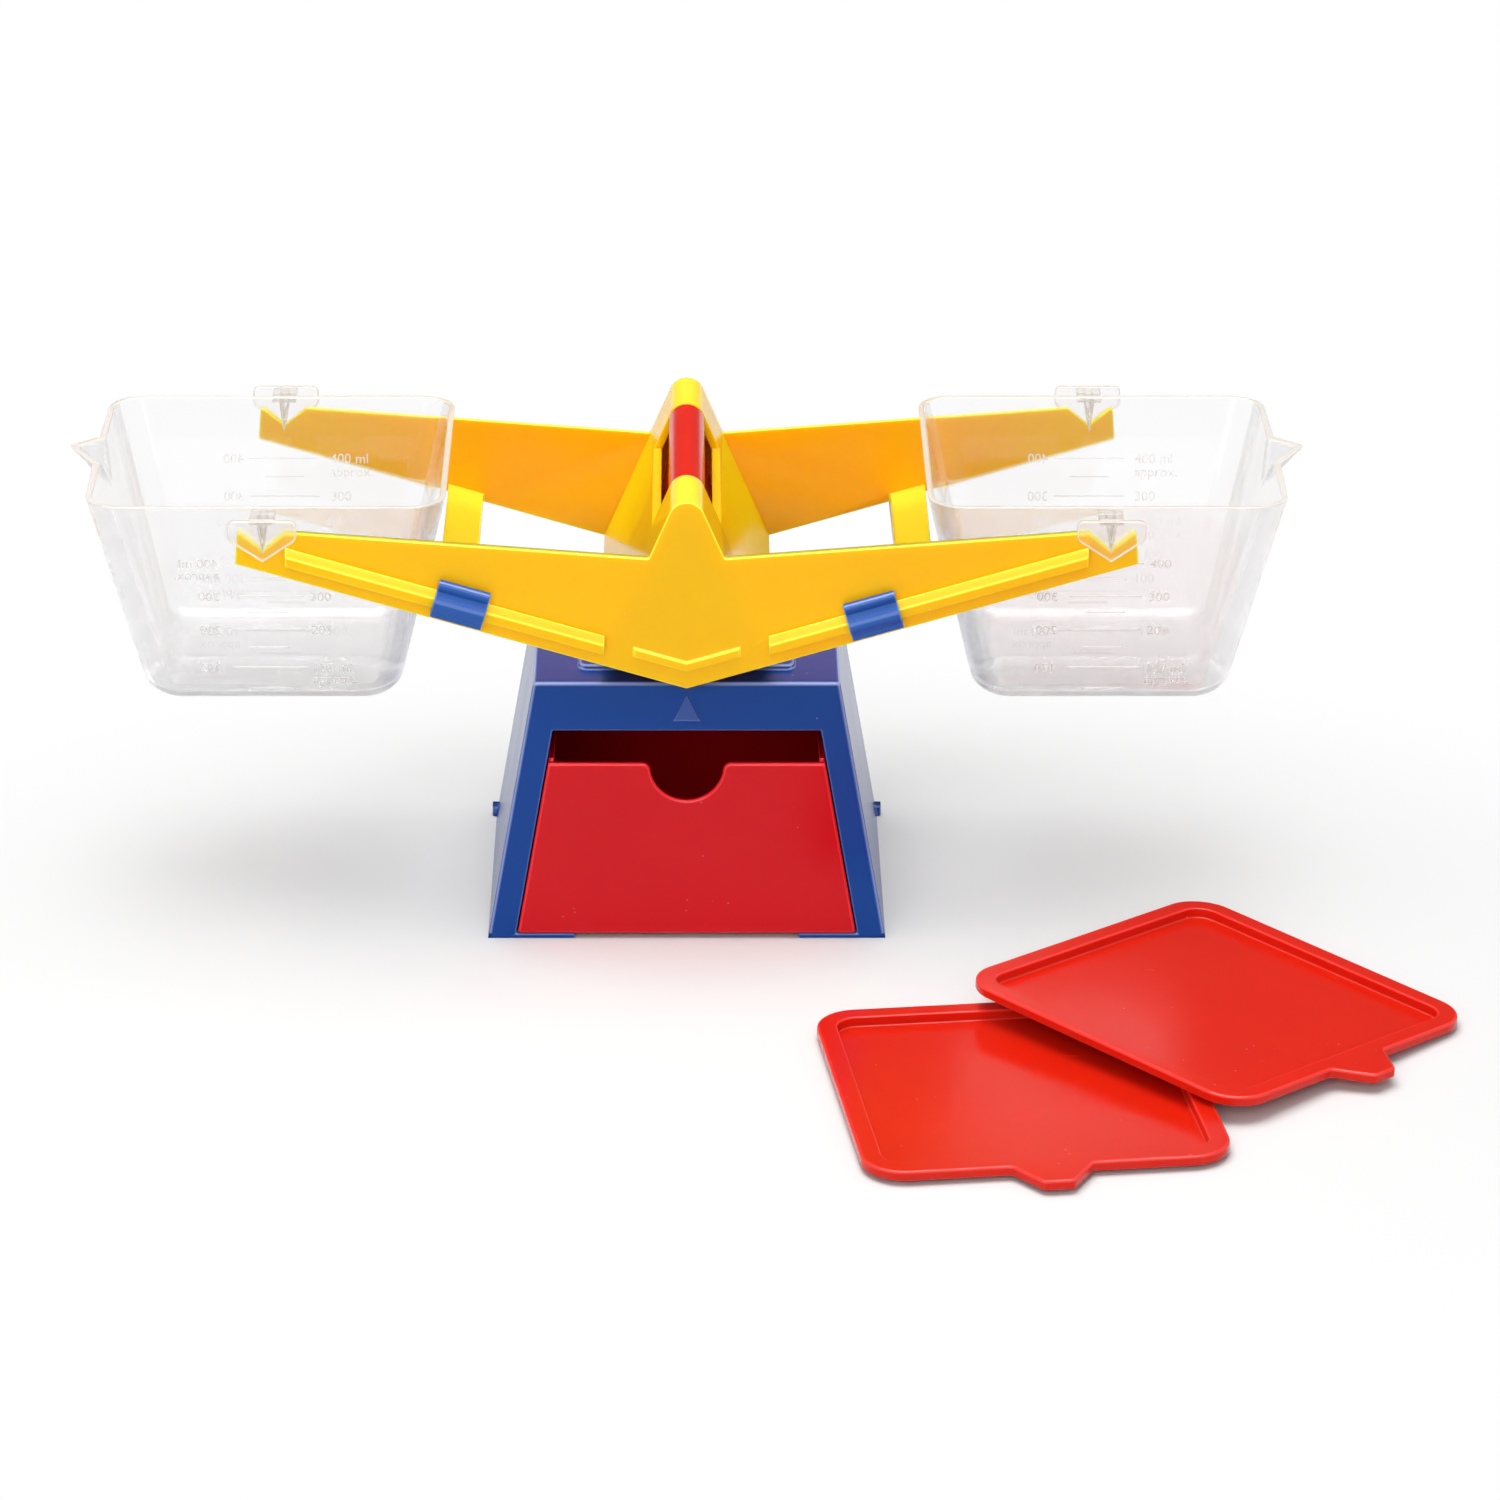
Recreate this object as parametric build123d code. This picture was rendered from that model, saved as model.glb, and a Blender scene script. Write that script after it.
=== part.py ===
from build123d import *
import math
import os

os.makedirs("parts", exist_ok=True)

# A bucket balance for children: a blue base with a drawer, a red fulcrum post that stands on the
# base, a yellow rocking beam on the post's knife edges, two clear buckets that hang in the beam's
# notches, two blue sliders that trim the balance, and the buckets' two red lids.
# Millimetres. X runs along the beam, Y to the back, Z up. The origin is on the table, under the
# middle of the base. The beam is level, the drawer is shut and the lids lie on the table in front.

# Clearances and the one overrun of every cut
cut_overrun = 6.0
rest_clearance = 0.3
knife_clearance = 0.1
rail_clearance = 0.2

# Base: a moulded box with sloped sides, open in front for the drawer and open below between the
# two runners that carry the drawer
base_height = 85.0
base_bottom_half = 61.5
base_top_half = 46.7
base_half_depth = 50.6
base_wall = 2.5
base_edge_radius = 1.6
header_height = 15.9
frame_width = 8.5
runner_height = 1.5
runner_width = 27.0
plinth_side_margin = 13.7
plinth_end_margin = 10.6
plinth_height = 1.6
plinth_edge_bevel = 0.5
plinth_corner_radius = 3.0
pointer_height = 7.7
pointer_half_width = 3.8
pointer_gap_above = 4.6
pointer_relief = 1.0
pointer_tip_relief = 0.2
rear_tab_reach = 1.3
rear_tab_depth = 4.0
rear_tab_height = 3.6

# Drawer: a tray with a finger notch in its front and sides that stand a little over the front
drawer_clearance = 0.4
drawer_wall = 1.8
drawer_front_wall = 2.4
drawer_proud = 0.6
drawer_rear_gap = 1.4
drawer_front_drop = 10.6
drawer_side_rise = 0.8
drawer_edge_bevel = 0.5
finger_notch_radius = 11.2
finger_notch_depth = 12.3
finger_shoulder_radius = 2.6

# Fulcrum post: a hollow wedge with a round ridge, a knife-edge arm at each end and a snap-in foot
pivot_rise = 53.0
ridge_radius = 5.5
ridge_over_pivot = 7.7
ridge_straight_drop = 9.0
post_foot_margin = 17.6
post_wall = 2.2
post_foot_inset = 2.6
post_hook = 1.2
post_hook_height = 3.0
post_hook_half_depth = 9.0
knife_half_angle = 20.0
knife_half_width = 3.0
knife_arm_drop = 26.0
knife_end_inset = 0.4

# Beam: two profiled plates joined by a tent-shaped web, with a window through the tent's crest
beam_half_depth = 58.2
beam_plate = 2.5
crest_over_pivot = 8.0
crest_radius = 5.6
peak_base_half = 11.5
peak_base_drop = 10.1
apex_drop = 52.1
end_past_notch = 8.6
end_drop = 11.8
notch_reach = 127.3
notch_drop = 7.2
horn_run = 7.7
horn_rise = 6.3
shoulder_run = 6.6
shoulder_rise = 5.5
beam_corner_radius = 0.8
apex_radius = 2.0
window_end_margin = 17.1
window_sill_drop = 7.5
strap_before_notch = 51.5
strap_width = 11.0
strap_thickness = 2.5
seat_half_angle = 52.0
seat_rib_drop = 4.0
seat_rib_thickness = 6.0
seat_rib_gap = 7.0
chevron_half = 16.0
chevron_rise = 6.0
chevron_height = 2.7
chevron_relief = 1.0

# Rails on the front plate, and the sliders that clip round them
rail_lift = 4.4
rail_height = 5.7
rail_face_height = 3.1
rail_relief = 3.0
rail_crown_relief = 1.3
rail_undercut = 1.2
rail_inner_reach = 24.8
slider_length = 16.0
slider_wall = 1.3
slider_bead_radius = 1.7
slider_belly_radius = 3.3
slider_belly_sag = 0.6
slider_foot_radius = 1.0
slider_left_before_end = 50.3
slider_right_before_end = 62.2

# Buckets: clear tapered tubs with a pouring spout and a hanger on the front and on the back
bucket_length = 109.0
bucket_width = 104.0
bucket_height = 69.6
bucket_rim_rise = 11.3
bucket_draft = 13.0
bucket_wall = 1.8
bucket_corner_radius = 11.0
bucket_bottom_radius = 7.0
bucket_floor_bevel = 3.0
spout_half_width = 12.5
spout_reach = 8.4
spout_depth = 10.5
spout_lift = 1.5
spout_tip_radius = 1.5
hanger_plate = 1.5
hanger_half_width = 10.4
hanger_top_rise = 10.8
hanger_side_drop = 6.1
hanger_tip_drop = 2.3
hanger_corner_radius = 2.0
hanger_shoulder_radius = 3.0
bridge_half_width = 3.8
bridge_thickness = 1.8
knife_stem_half = 1.6
knife_tip_half = 0.25
knife_stem_wall = 0.6
knife_stem_floor = 3.4

# Lids: flanged plates with a sunk middle, a channel that seats on the rim and a spout cover
lid_lip = 1.2
lid_lip_clearance = 0.3
lid_flange_thickness = 3.0
lid_top_thickness = 1.5
lid_plug_drop = 1.7
lid_panel_thickness = 1.5
lid_plug_clearance = 1.2
lid_plug_wall = 1.6
lid_edge_bevel = 0.6
lid_tab_half = 11.8
lid_tab_tip_half = 4.4
lid_tab_reach = 10.8
lid_tab_radius = 2.0
lower_lid_x = 97.3
lower_lid_y = -164.1
lower_lid_turn = -83.0
upper_lid_x = 158.6
upper_lid_y = -112.5
upper_lid_turn = -46.5


# Places and heights that the pieces share
opening_top = base_height - header_height
plinth_half_width = base_top_half - plinth_side_margin
plinth_half_depth = base_half_depth - plinth_end_margin
post_foot_half = plinth_half_width - post_foot_margin
window_half = base_half_depth - window_end_margin
end_reach = notch_reach + end_past_notch
strap_outer_reach = notch_reach - strap_before_notch
strap_inner_reach = strap_outer_reach - strap_width
rail_outer_reach = notch_reach - shoulder_run
slider_left_reach = rail_outer_reach - slider_left_before_end
slider_right_reach = rail_outer_reach - slider_right_before_end
deck_top = base_height + plinth_height
pivot_height = base_height + pivot_rise
notch_height = pivot_height - notch_drop
apex_height = pivot_height - apex_drop
edge_slope = math.degrees(math.atan2(apex_drop - end_drop, end_reach))
plate_inner = beam_half_depth - beam_plate


def profile(points, near, far):
    """A closed outline in X and Z, carried along Y from near to far."""
    outline = make_face(Polyline(*[(x, 0, z) for x, z in points], close=True))
    start = outline.moved(Location((0, near, 0)))
    return extrude(start, amount=far - near, dir=(0, 1, 0))


def block(x_low, x_high, y_low, y_high, z_low, z_high):
    """A box given by its six faces."""
    centre = ((x_low + x_high) / 2, (y_low + y_high) / 2, (z_low + z_high) / 2)
    return Pos(*centre) * Box(x_high - x_low, y_high - y_low, z_high - z_low)


def base_half(height):
    """The base's half width at a height: its sides lean in by the same amount all the way up."""
    return base_bottom_half + (base_top_half - base_bottom_half) * height / base_height


def trapezoid(inset, low, high, near, far):
    """The base's own trapezoid, drawn in by an inset, between two heights and two depths."""
    wide = base_half(low) - inset
    narrow = base_half(high) - inset
    return profile([(-wide, low), (wide, low), (narrow, high), (-narrow, high)], near, far)


def edge_height(reach):
    """The height of the beam's straight lower edge at a distance from the middle."""
    return apex_height + abs(reach) * math.tan(math.radians(edge_slope))


# Base
side_lean = math.atan2(base_bottom_half - base_top_half, base_height)
side_wall = base_wall / math.cos(side_lean)
inner_depth = base_half_depth - base_wall

base = trapezoid(0, 0, base_height, -base_half_depth, base_half_depth)
base = fillet([e for e in base.edges() if e.center().Z > base_edge_radius], base_edge_radius)
hollow = trapezoid(side_wall, -cut_overrun, base_height - base_wall, -inner_depth, inner_depth)
mouth = trapezoid(frame_width, -cut_overrun, opening_top, -base_half_depth - cut_overrun, 0)
base = base - hollow - mouth

runner_inner = base_bottom_half - runner_width
for side in (-1, 1):
    edges = sorted((side * runner_inner, side * (base_bottom_half + cut_overrun)))
    runner = block(*edges, -base_half_depth, base_half_depth, 0, runner_height)
    base += runner & trapezoid(0, 0, base_height, -base_half_depth, base_half_depth)

plinth = extrude(
    Pos(0, 0, base_height - base_wall)
    * RectangleRounded(2 * plinth_half_width, 2 * plinth_half_depth, plinth_corner_radius),
    amount=base_wall + plinth_height,
)
plinth = chamfer(plinth.faces().sort_by(Axis.Z)[-1].edges(), plinth_edge_bevel)
base += plinth

slot_half_width = post_foot_half - post_foot_inset
slot_half_depth = window_half - post_foot_inset
base -= block(
    -slot_half_width, slot_half_width, -slot_half_depth, slot_half_depth,
    base_height - base_wall - cut_overrun, deck_top + cut_overrun,
)

# The pointer's face leans out towards its foot, so that it catches the light
pointer_top = base_height - pointer_gap_above
pointer_base = pointer_top - pointer_height
pointer = profile(
    [(0, pointer_top), (-pointer_half_width, pointer_base), (pointer_half_width, pointer_base)],
    -base_half_depth - pointer_relief, -base_half_depth + base_wall / 2,
)
lean_face = make_face(Polyline(
    (0, -base_half_depth - pointer_tip_relief, pointer_top),
    (0, -base_half_depth - pointer_relief, pointer_base),
    (0, -base_half_depth - pointer_relief, pointer_top),
    close=True,
))
lean_start = lean_face.moved(Location((-pointer_half_width, 0, 0)))
base += pointer - extrude(lean_start, amount=2 * pointer_half_width, dir=(1, 0, 0))

# A small tab stands out at each rear corner of the foot
for side in (-1, 1):
    tab_edges = sorted((side * (base_half(rear_tab_height) - base_wall),
                        side * (base_bottom_half + rear_tab_reach)))
    base += block(*tab_edges, base_half_depth - rear_tab_depth, base_half_depth, 0, rear_tab_height)

# Drawer
tray_inset = frame_width + drawer_clearance
tray_bottom = runner_height + rest_clearance
tray_front = -base_half_depth - drawer_proud
tray_back = inner_depth - drawer_rear_gap
front_top = opening_top - drawer_front_drop
tray_top = front_top + drawer_side_rise
wall_inset = tray_inset + drawer_wall / math.cos(side_lean)

drawer = trapezoid(tray_inset, tray_bottom, tray_top, tray_front + drawer_front_wall, tray_back)
drawer -= trapezoid(
    wall_inset, tray_bottom + drawer_wall, tray_top + cut_overrun,
    tray_front - cut_overrun, tray_back - drawer_wall,
)
front = trapezoid(tray_inset, tray_bottom, front_top, tray_front, tray_front + drawer_front_wall)
notch_centre = front_top - finger_notch_depth + finger_notch_radius
front -= Pos(0, tray_front, notch_centre) * Rot(90, 0, 0) * Cylinder(
    finger_notch_radius, 2 * (drawer_front_wall + cut_overrun)
)
shoulders = [
    e for e in front.edges().filter_by(Axis.Y)
    if abs(e.center().X) < finger_notch_radius + rest_clearance and e.center().Z > notch_centre
]
front = fillet(shoulders, finger_shoulder_radius)
front_face = front.faces().sort_by(Axis.Y)[0]
front = chamfer(front_face.edges(), drawer_edge_bevel)
drawer += front

# Fulcrum post
ridge_centre = pivot_height + ridge_over_pivot - ridge_radius
bend_height = pivot_height - ridge_straight_drop
ridge_half_depth = window_half - rest_clearance
foot_top = deck_top
tongue_half_width = slot_half_width - rest_clearance
tongue_half_depth = slot_half_depth - rest_clearance
tongue_bottom = base_height - base_wall - rest_clearance - post_hook_height


def post_half(height):
    """The post's half width at a height below its bend: its sides run straight to the foot."""
    widening = (post_foot_half - ridge_radius) / (bend_height - foot_top)
    return ridge_radius + (bend_height - height) * widening


def wedge(inset, bottom):
    """The post's section: a round ridge, short upright sides and two long sloped sides."""
    radius = ridge_radius - inset
    foot = post_half(bottom) - inset
    sides = profile(
        [(-foot, bottom), (foot, bottom), (radius, bend_height), (radius, ridge_centre),
         (-radius, ridge_centre), (-radius, bend_height)],
        inset - ridge_half_depth, ridge_half_depth - inset,
    )
    ridge = Pos(0, 0, ridge_centre) * Rot(90, 0, 0) * Cylinder(radius, 2 * (ridge_half_depth - inset))
    return sides + ridge


post = wedge(0, foot_top)
post += block(
    -tongue_half_width, tongue_half_width, -tongue_half_depth, tongue_half_depth,
    tongue_bottom, foot_top + post_wall,
)
knife_widens = pivot_height - knife_half_width / math.tan(math.radians(knife_half_angle))
knife_end = base_half_depth - knife_end_inset
post += profile(
    [(0, pivot_height), (-knife_half_width, knife_widens),
     (-knife_half_width, pivot_height - knife_arm_drop),
     (knife_half_width, pivot_height - knife_arm_drop), (knife_half_width, knife_widens)],
    -knife_end, knife_end,
)
post -= wedge(post_wall, foot_top + post_wall)
post -= block(
    post_wall - tongue_half_width, tongue_half_width - post_wall,
    post_wall - tongue_half_depth, tongue_half_depth - post_wall,
    tongue_bottom - cut_overrun, foot_top + 2 * post_wall,
)
hook_top = base_height - base_wall - rest_clearance
for side in (-1, 1):
    inner = side * (tongue_half_width - post_wall / 2)
    outer = side * (tongue_half_width + post_hook)
    post += profile(
        [(inner, hook_top), (outer, hook_top), (side * tongue_half_width, tongue_bottom),
         (inner, tongue_bottom)],
        -post_hook_half_depth, post_hook_half_depth,
    )

# Beam
crest_centre = pivot_height + crest_over_pivot - crest_radius
peak_base_height = pivot_height - peak_base_drop
# The peak's side is the line from its base that touches the crest's circle
to_crest = math.hypot(peak_base_half, crest_centre - peak_base_height)
touch_turn = math.asin(crest_radius / to_crest)
side_angle = math.atan2(peak_base_half, crest_centre - peak_base_height) - touch_turn
touch_x = crest_radius * math.cos(side_angle)
touch_z = crest_centre + crest_radius * math.sin(side_angle)
side_run = math.tan(side_angle)
# Where the tent's side runs down into the beam's lower edge
edge_run = math.tan(math.radians(edge_slope))
tent_foot = (peak_base_half + (peak_base_height - apex_height) * side_run) / (1 + edge_run * side_run)


def crest_outline(inset, bottom):
    """The tent's section: a round crest and two straight sides down to a height, as one face."""
    radius = crest_radius - inset
    top_x = radius * math.cos(side_angle)
    top_z = crest_centre + radius * math.sin(side_angle)
    foot_x = top_x + (top_z - bottom) * side_run
    crest = ThreePointArc((top_x, 0, top_z), (0, 0, crest_centre + radius), (-top_x, 0, top_z))
    sides = Polyline((-top_x, 0, top_z), (-foot_x, 0, bottom), (foot_x, 0, bottom), (top_x, 0, top_z))
    return make_face([crest, *sides.edges()])


def carried(face, near, far):
    """A face in the plane of X and Z, carried along Y from near to far."""
    return extrude(face.moved(Location((0, near, 0))), amount=far - near, dir=(0, 1, 0))


def plate_points(side):
    """The corners of one half of a plate, from the end's lower corner to the peak's base."""
    return [
        (side * end_reach, pivot_height - end_drop),
        (side * (notch_reach + horn_run), notch_height + horn_rise),
        (side * notch_reach, notch_height),
        (side * (notch_reach - shoulder_run), notch_height + shoulder_rise),
        (side * peak_base_half, peak_base_height),
    ]


right_half = plate_points(1)
left_half = plate_points(-1)
arc = ThreePointArc(
    (touch_x, 0, touch_z), (0, 0, crest_centre + crest_radius), (-touch_x, 0, touch_z)
)
rest_of_plate = Polyline(
    (-touch_x, 0, touch_z), *[(x, 0, z) for x, z in reversed(left_half)], (0, 0, apex_height),
    *[(x, 0, z) for x, z in right_half], (touch_x, 0, touch_z),
)
plate = carried(make_face([arc, *rest_of_plate.edges()]), 0, beam_plate)


def corner_edges(solid, x, z):
    """The edges along Y that stand over one corner of a profile, on both sides of the middle."""
    return [
        e for e in solid.edges().filter_by(Axis.Y)
        if abs(abs(e.center().X) - x) < beam_corner_radius
        and abs(e.center().Z - z) < beam_corner_radius
    ]


for index in (0, 1, 3, 4):
    corner_x, corner_z = right_half[index]
    plate = fillet(corner_edges(plate, corner_x, corner_z), beam_corner_radius)
plate = fillet(corner_edges(plate, 0, apex_height), apex_radius)

front_plate = plate.moved(Location((0, -beam_half_depth, 0)))
back_plate = plate.moved(Location((0, plate_inner, 0)))

under_edge = [(0, apex_height)] + [
    (end_reach, edge_height(end_reach)), (end_reach, 0), (-end_reach, 0),
    (-end_reach, edge_height(end_reach)),
]
below_beam = profile(under_edge, -beam_half_depth - cut_overrun, beam_half_depth + cut_overrun)
tent_bottom = edge_height(tent_foot) - cut_overrun - beam_plate
tent = carried(crest_outline(0, tent_bottom), -plate_inner, plate_inner)
tent -= carried(crest_outline(beam_plate, tent_bottom - cut_overrun), -plate_inner, plate_inner)
tent -= below_beam
window_sill = pivot_height - window_sill_drop
tent -= block(
    -end_reach, end_reach, -window_half, window_half,
    window_sill, crest_centre + crest_radius + cut_overrun,
)
beam = front_plate + tent + back_plate

# Seat ribs under the two hoods: each has a V that rides on the post's knife edge
seat_apex = pivot_height + knife_clearance
seat_floor = pivot_height - seat_rib_drop
seat_run = math.tan(math.radians(seat_half_angle))
seat_low = seat_floor - cut_overrun
for side in (-1, 1):
    seat_edges = sorted((side * (window_half + seat_rib_gap),
                         side * (window_half + seat_rib_gap + seat_rib_thickness)))
    rib = carried(crest_outline(beam_plate / 2, seat_floor), *seat_edges)
    rib -= profile(
        [(0, seat_apex), (-(seat_apex - seat_low) * seat_run, seat_low),
         ((seat_apex - seat_low) * seat_run, seat_low)],
        seat_edges[0] - cut_overrun, seat_edges[1] + cut_overrun,
    )
    beam += rib

# Flat straps that tie the plates together along their lower edges
strap_lift = strap_thickness / math.cos(math.radians(edge_slope))
for side in (-1, 1):
    beam += profile(
        [(side * strap_inner_reach, edge_height(strap_inner_reach)),
         (side * strap_outer_reach, edge_height(strap_outer_reach)),
         (side * strap_outer_reach, edge_height(strap_outer_reach) + strap_lift),
         (side * strap_inner_reach, edge_height(strap_inner_reach) + strap_lift)],
        -plate_inner - beam_plate / 2, plate_inner + beam_plate / 2,
    )

# Chevron rib low on the front plate, over the base's pointer
chevron_low = apex_height + chevron_rise
chevron_end = chevron_low + chevron_half * edge_run
beam += profile(
    [(0, chevron_low), (chevron_half, chevron_end), (chevron_half, chevron_end + chevron_height),
     (0, chevron_low + chevron_height), (-chevron_half, chevron_end + chevron_height),
     (-chevron_half, chevron_end)],
    -beam_half_depth - chevron_relief, -beam_half_depth + beam_plate / 2,
)


def rail_plane(side, reach):
    """A section plane across a rail: its x runs out of the plate, its y up from the rail's foot."""
    slope = math.radians(edge_slope)
    along = Vector(side * math.cos(slope), 0, math.sin(slope))
    up = Vector(-side * math.sin(slope), 0, math.cos(slope))
    foot = Vector(side * reach, -beam_half_depth, edge_height(reach)) + up * rail_lift
    return Plane(origin=foot, x_dir=(0, -1, 0), z_dir=Vector(0, -1, 0).cross(up)), along


rail_section = [
    (0, rail_undercut), (rail_relief, 0), (rail_relief, rail_face_height),
    (rail_crown_relief, rail_height), (0, rail_height - rail_undercut),
]


def along_rail(section, side, reach, length):
    """A section of the rail's own plane, carried along the rail, centred on a reach."""
    plane, along = rail_plane(side, reach)
    start = plane * section
    return extrude(start.moved(Location(along * (-length / 2))), amount=length, dir=along)


rail_middle = (rail_inner_reach + rail_outer_reach) / 2
rail_run = (rail_outer_reach - rail_inner_reach) / math.cos(math.radians(edge_slope))
root_points = [(-beam_plate / 2, rail_undercut)] + rail_section[1:4] + [
    (0, rail_height - rail_undercut), (-beam_plate / 2, rail_height - rail_undercut)
]
root_points.insert(1, rail_section[0])
rail_face = make_face(Polyline(*root_points, close=True))
for side in (-1, 1):
    rail = along_rail(rail_face, side, rail_middle, rail_run + 2 * cut_overrun)
    limits = sorted((side * rail_inner_reach, side * rail_outer_reach))
    beam += rail & block(
        *limits, -beam_half_depth - rail_relief - cut_overrun, -plate_inner, 0, pivot_height
    )

# Sliders: spring clips whose inside is the rail's outline grown by a clearance. Outside they have
# a bead on top, a round belly in front and a foot under the rail
rail_outline = make_face(Polyline(*rail_section, close=True))
clip_inner = offset(rail_outline, amount=rail_clearance, kind=Kind.INTERSECTION)
clip_outer = offset(rail_outline, amount=rail_clearance + slider_wall, kind=Kind.INTERSECTION)
bead_x = rail_crown_relief + slider_bead_radius / 2
bead_y = rail_height + rail_clearance + slider_bead_radius
belly_x = rail_relief + rail_clearance + slider_wall - slider_belly_radius + slider_belly_sag
foot_x = rail_relief / 2
foot_y = -rail_clearance - slider_foot_radius
clip_face = clip_outer + Pos(bead_x, bead_y) * Circle(slider_bead_radius)
clip_face += Pos(belly_x, rail_face_height / 2) * Circle(slider_belly_radius)
clip_face += Pos(foot_x, foot_y) * Circle(slider_foot_radius)
clip_face -= clip_inner
far_side = rail_relief + rail_height + cut_overrun
clip_face = clip_face & (
    Pos(rest_clearance + far_side / 2, rail_height / 2) * Rectangle(far_side, 2 * far_side)
)
slider_left = along_rail(clip_face, -1, slider_left_reach, slider_length)
slider_right = along_rail(clip_face, 1, slider_right_reach, slider_length)


# Buckets
rim_height = notch_height + bucket_rim_rise
bucket_floor = rim_height - bucket_height
draft_run = math.tan(math.radians(bucket_draft))
slant_wall = bucket_wall / math.cos(math.radians(bucket_draft))


def tub(inset, bottom, top):
    """A tapered tub about the Z axis, between two heights, drawn in by an inset all round."""
    crossed = []
    for size, turn in ((bucket_length, 0), (bucket_width, 90)):
        low_half = size / 2 - inset - (rim_height - bottom) * draft_run
        high_half = size / 2 - inset - (rim_height - top) * draft_run
        outline = [(-low_half, bottom), (low_half, bottom), (high_half, top), (-high_half, top)]
        crossed.append(Rot(0, 0, turn) * profile(outline, -bucket_length, bucket_length))
    shape = crossed[0] & crossed[1]
    corners = [e for e in shape.edges() if abs(e.center().X * e.center().Y) > bucket_corner_radius ** 2]
    return fillet(corners, bucket_corner_radius - inset)


def spout(inset, growth):
    """A half pyramid that leans out of the tub's wall, with its point down on the wall."""
    tip_x = bucket_length / 2 + spout_reach - inset * math.sqrt(2)
    root_x = bucket_length / 2 - bucket_wall - inset
    half = (spout_half_width - inset) * (tip_x - root_x) / (tip_x - bucket_length / 2)
    low = Vector(bucket_length / 2 - spout_depth * draft_run - bucket_wall / 2 - inset, 0,
                 rim_height - spout_depth + inset)
    lift = spout_lift / spout_reach
    corners = [
        Vector(x, y, rim_height + (x - bucket_length / 2) * lift)
        for x, y in ((root_x, -half), (tip_x, 0), (root_x, half))
    ]
    grown = [low + (corner - low) * growth for corner in corners]
    mouth_face = make_face(Polyline(*grown, close=True))
    tip = mouth_face.vertices().sort_by(Axis.X)[-1]
    mouth_face = fillet(tip, spout_tip_radius)
    return loft([Vertex(*low), mouth_face])


def hanger(front_or_back):
    """One hanger: a bridge over the beam's plate, a guard outside it and a knife stem between."""
    guard_in = beam_half_depth + rail_relief + rest_clearance
    guard_out = guard_in + hanger_plate
    wall_in = bucket_width / 2 - (rim_height - notch_height) * draft_run - slant_wall
    top = notch_height + hanger_top_rise
    shoulder = top - hanger_side_drop
    point = notch_height - hanger_tip_drop
    guard_near, guard_far = sorted((front_or_back * guard_in, front_or_back * guard_out))
    wall_near, wall_far = sorted((front_or_back * wall_in, front_or_back * guard_out))
    guard = profile(
        [(-hanger_half_width, top), (-hanger_half_width, shoulder), (0, point),
         (hanger_half_width, shoulder), (hanger_half_width, top)],
        guard_near, guard_far,
    )
    upright = guard.edges().filter_by(Axis.Y).sort_by(Axis.Z)
    guard = fillet(upright[1:3], hanger_shoulder_radius)
    upright = guard.edges().filter_by(Axis.Y).sort_by(Axis.Z)
    guard = fillet(upright[-2:], hanger_corner_radius)
    bridge = block(
        -bridge_half_width, bridge_half_width, wall_near, wall_far, top - bridge_thickness, top
    )
    edge = notch_height + knife_clearance
    stem = profile(
        [(-knife_stem_half, top - bridge_thickness / 2), (-knife_tip_half, edge + knife_tip_half),
         (0, edge), (knife_tip_half, edge + knife_tip_half),
         (knife_stem_half, top - bridge_thickness / 2)],
        wall_near, wall_far,
    )
    groove_top = top - bridge_thickness
    groove_half = knife_stem_half - knife_stem_wall
    stem -= profile(
        [(-groove_half, groove_top), (0, edge + knife_stem_floor), (groove_half, groove_top)],
        wall_near, wall_far,
    )
    return guard + bridge + stem


bucket = tub(0, bucket_floor, rim_height)
bucket = fillet(bucket.faces().sort_by(Axis.Z)[0].edges(), bucket_bottom_radius)
bucket += spout(0, 1)
for front_or_back in (-1, 1):
    bucket += hanger(front_or_back)
hollow = tub(slant_wall, bucket_floor + bucket_wall, rim_height + cut_overrun)
bucket -= chamfer(hollow.faces().sort_by(Axis.Z)[0].edges(), bucket_floor_bevel)
bucket -= spout(bucket_wall, 1 + cut_overrun / spout_depth)
bucket_right = bucket.moved(Location((notch_reach, 0, 0)))
bucket_left = bucket.moved(Location((-notch_reach, 0, 0), (0, 0, 180)))

# Lids
lid_grow = lid_lip_clearance + lid_lip
lid_length = bucket_length + 2 * lid_grow
lid_width = bucket_width + 2 * lid_grow
lid_corner_radius = bucket_corner_radius + lid_grow
flange_low = lid_plug_drop
flange_top = lid_plug_drop + lid_flange_thickness
plug_inset = lid_grow + bucket_wall + lid_plug_clearance


def rounded_plate(inset):
    """The lid's rounded outline without its tab, drawn in by an inset."""
    radius = lid_corner_radius - inset
    return RectangleRounded(lid_length - 2 * inset, lid_width - 2 * inset, radius)


root_x = lid_length / 2
tab = make_face(Polyline(
    (root_x - lid_corner_radius, -lid_tab_half), (root_x, -lid_tab_half),
    (root_x + lid_tab_reach, -lid_tab_tip_half), (root_x + lid_tab_reach, lid_tab_tip_half),
    (root_x, lid_tab_half), (root_x - lid_corner_radius, lid_tab_half), close=True,
))
lid_outline = rounded_plate(0) + tab
tab_corners = [
    v for v in lid_outline.vertices()
    if v.X > root_x - rest_clearance and abs(v.Y) < lid_tab_half + rest_clearance
]
lid_outline = fillet(tab_corners, lid_tab_radius)
lid = extrude(Pos(0, 0, flange_low) * lid_outline, amount=lid_flange_thickness)
lid = chamfer(lid.faces().sort_by(Axis.Z)[-1].edges(), lid_edge_bevel)
channel = offset(lid_outline, amount=-lid_lip, kind=Kind.INTERSECTION)
lid -= extrude(
    Pos(0, 0, flange_low - cut_overrun) * channel,
    amount=cut_overrun + lid_flange_thickness - lid_top_thickness,
)
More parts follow.
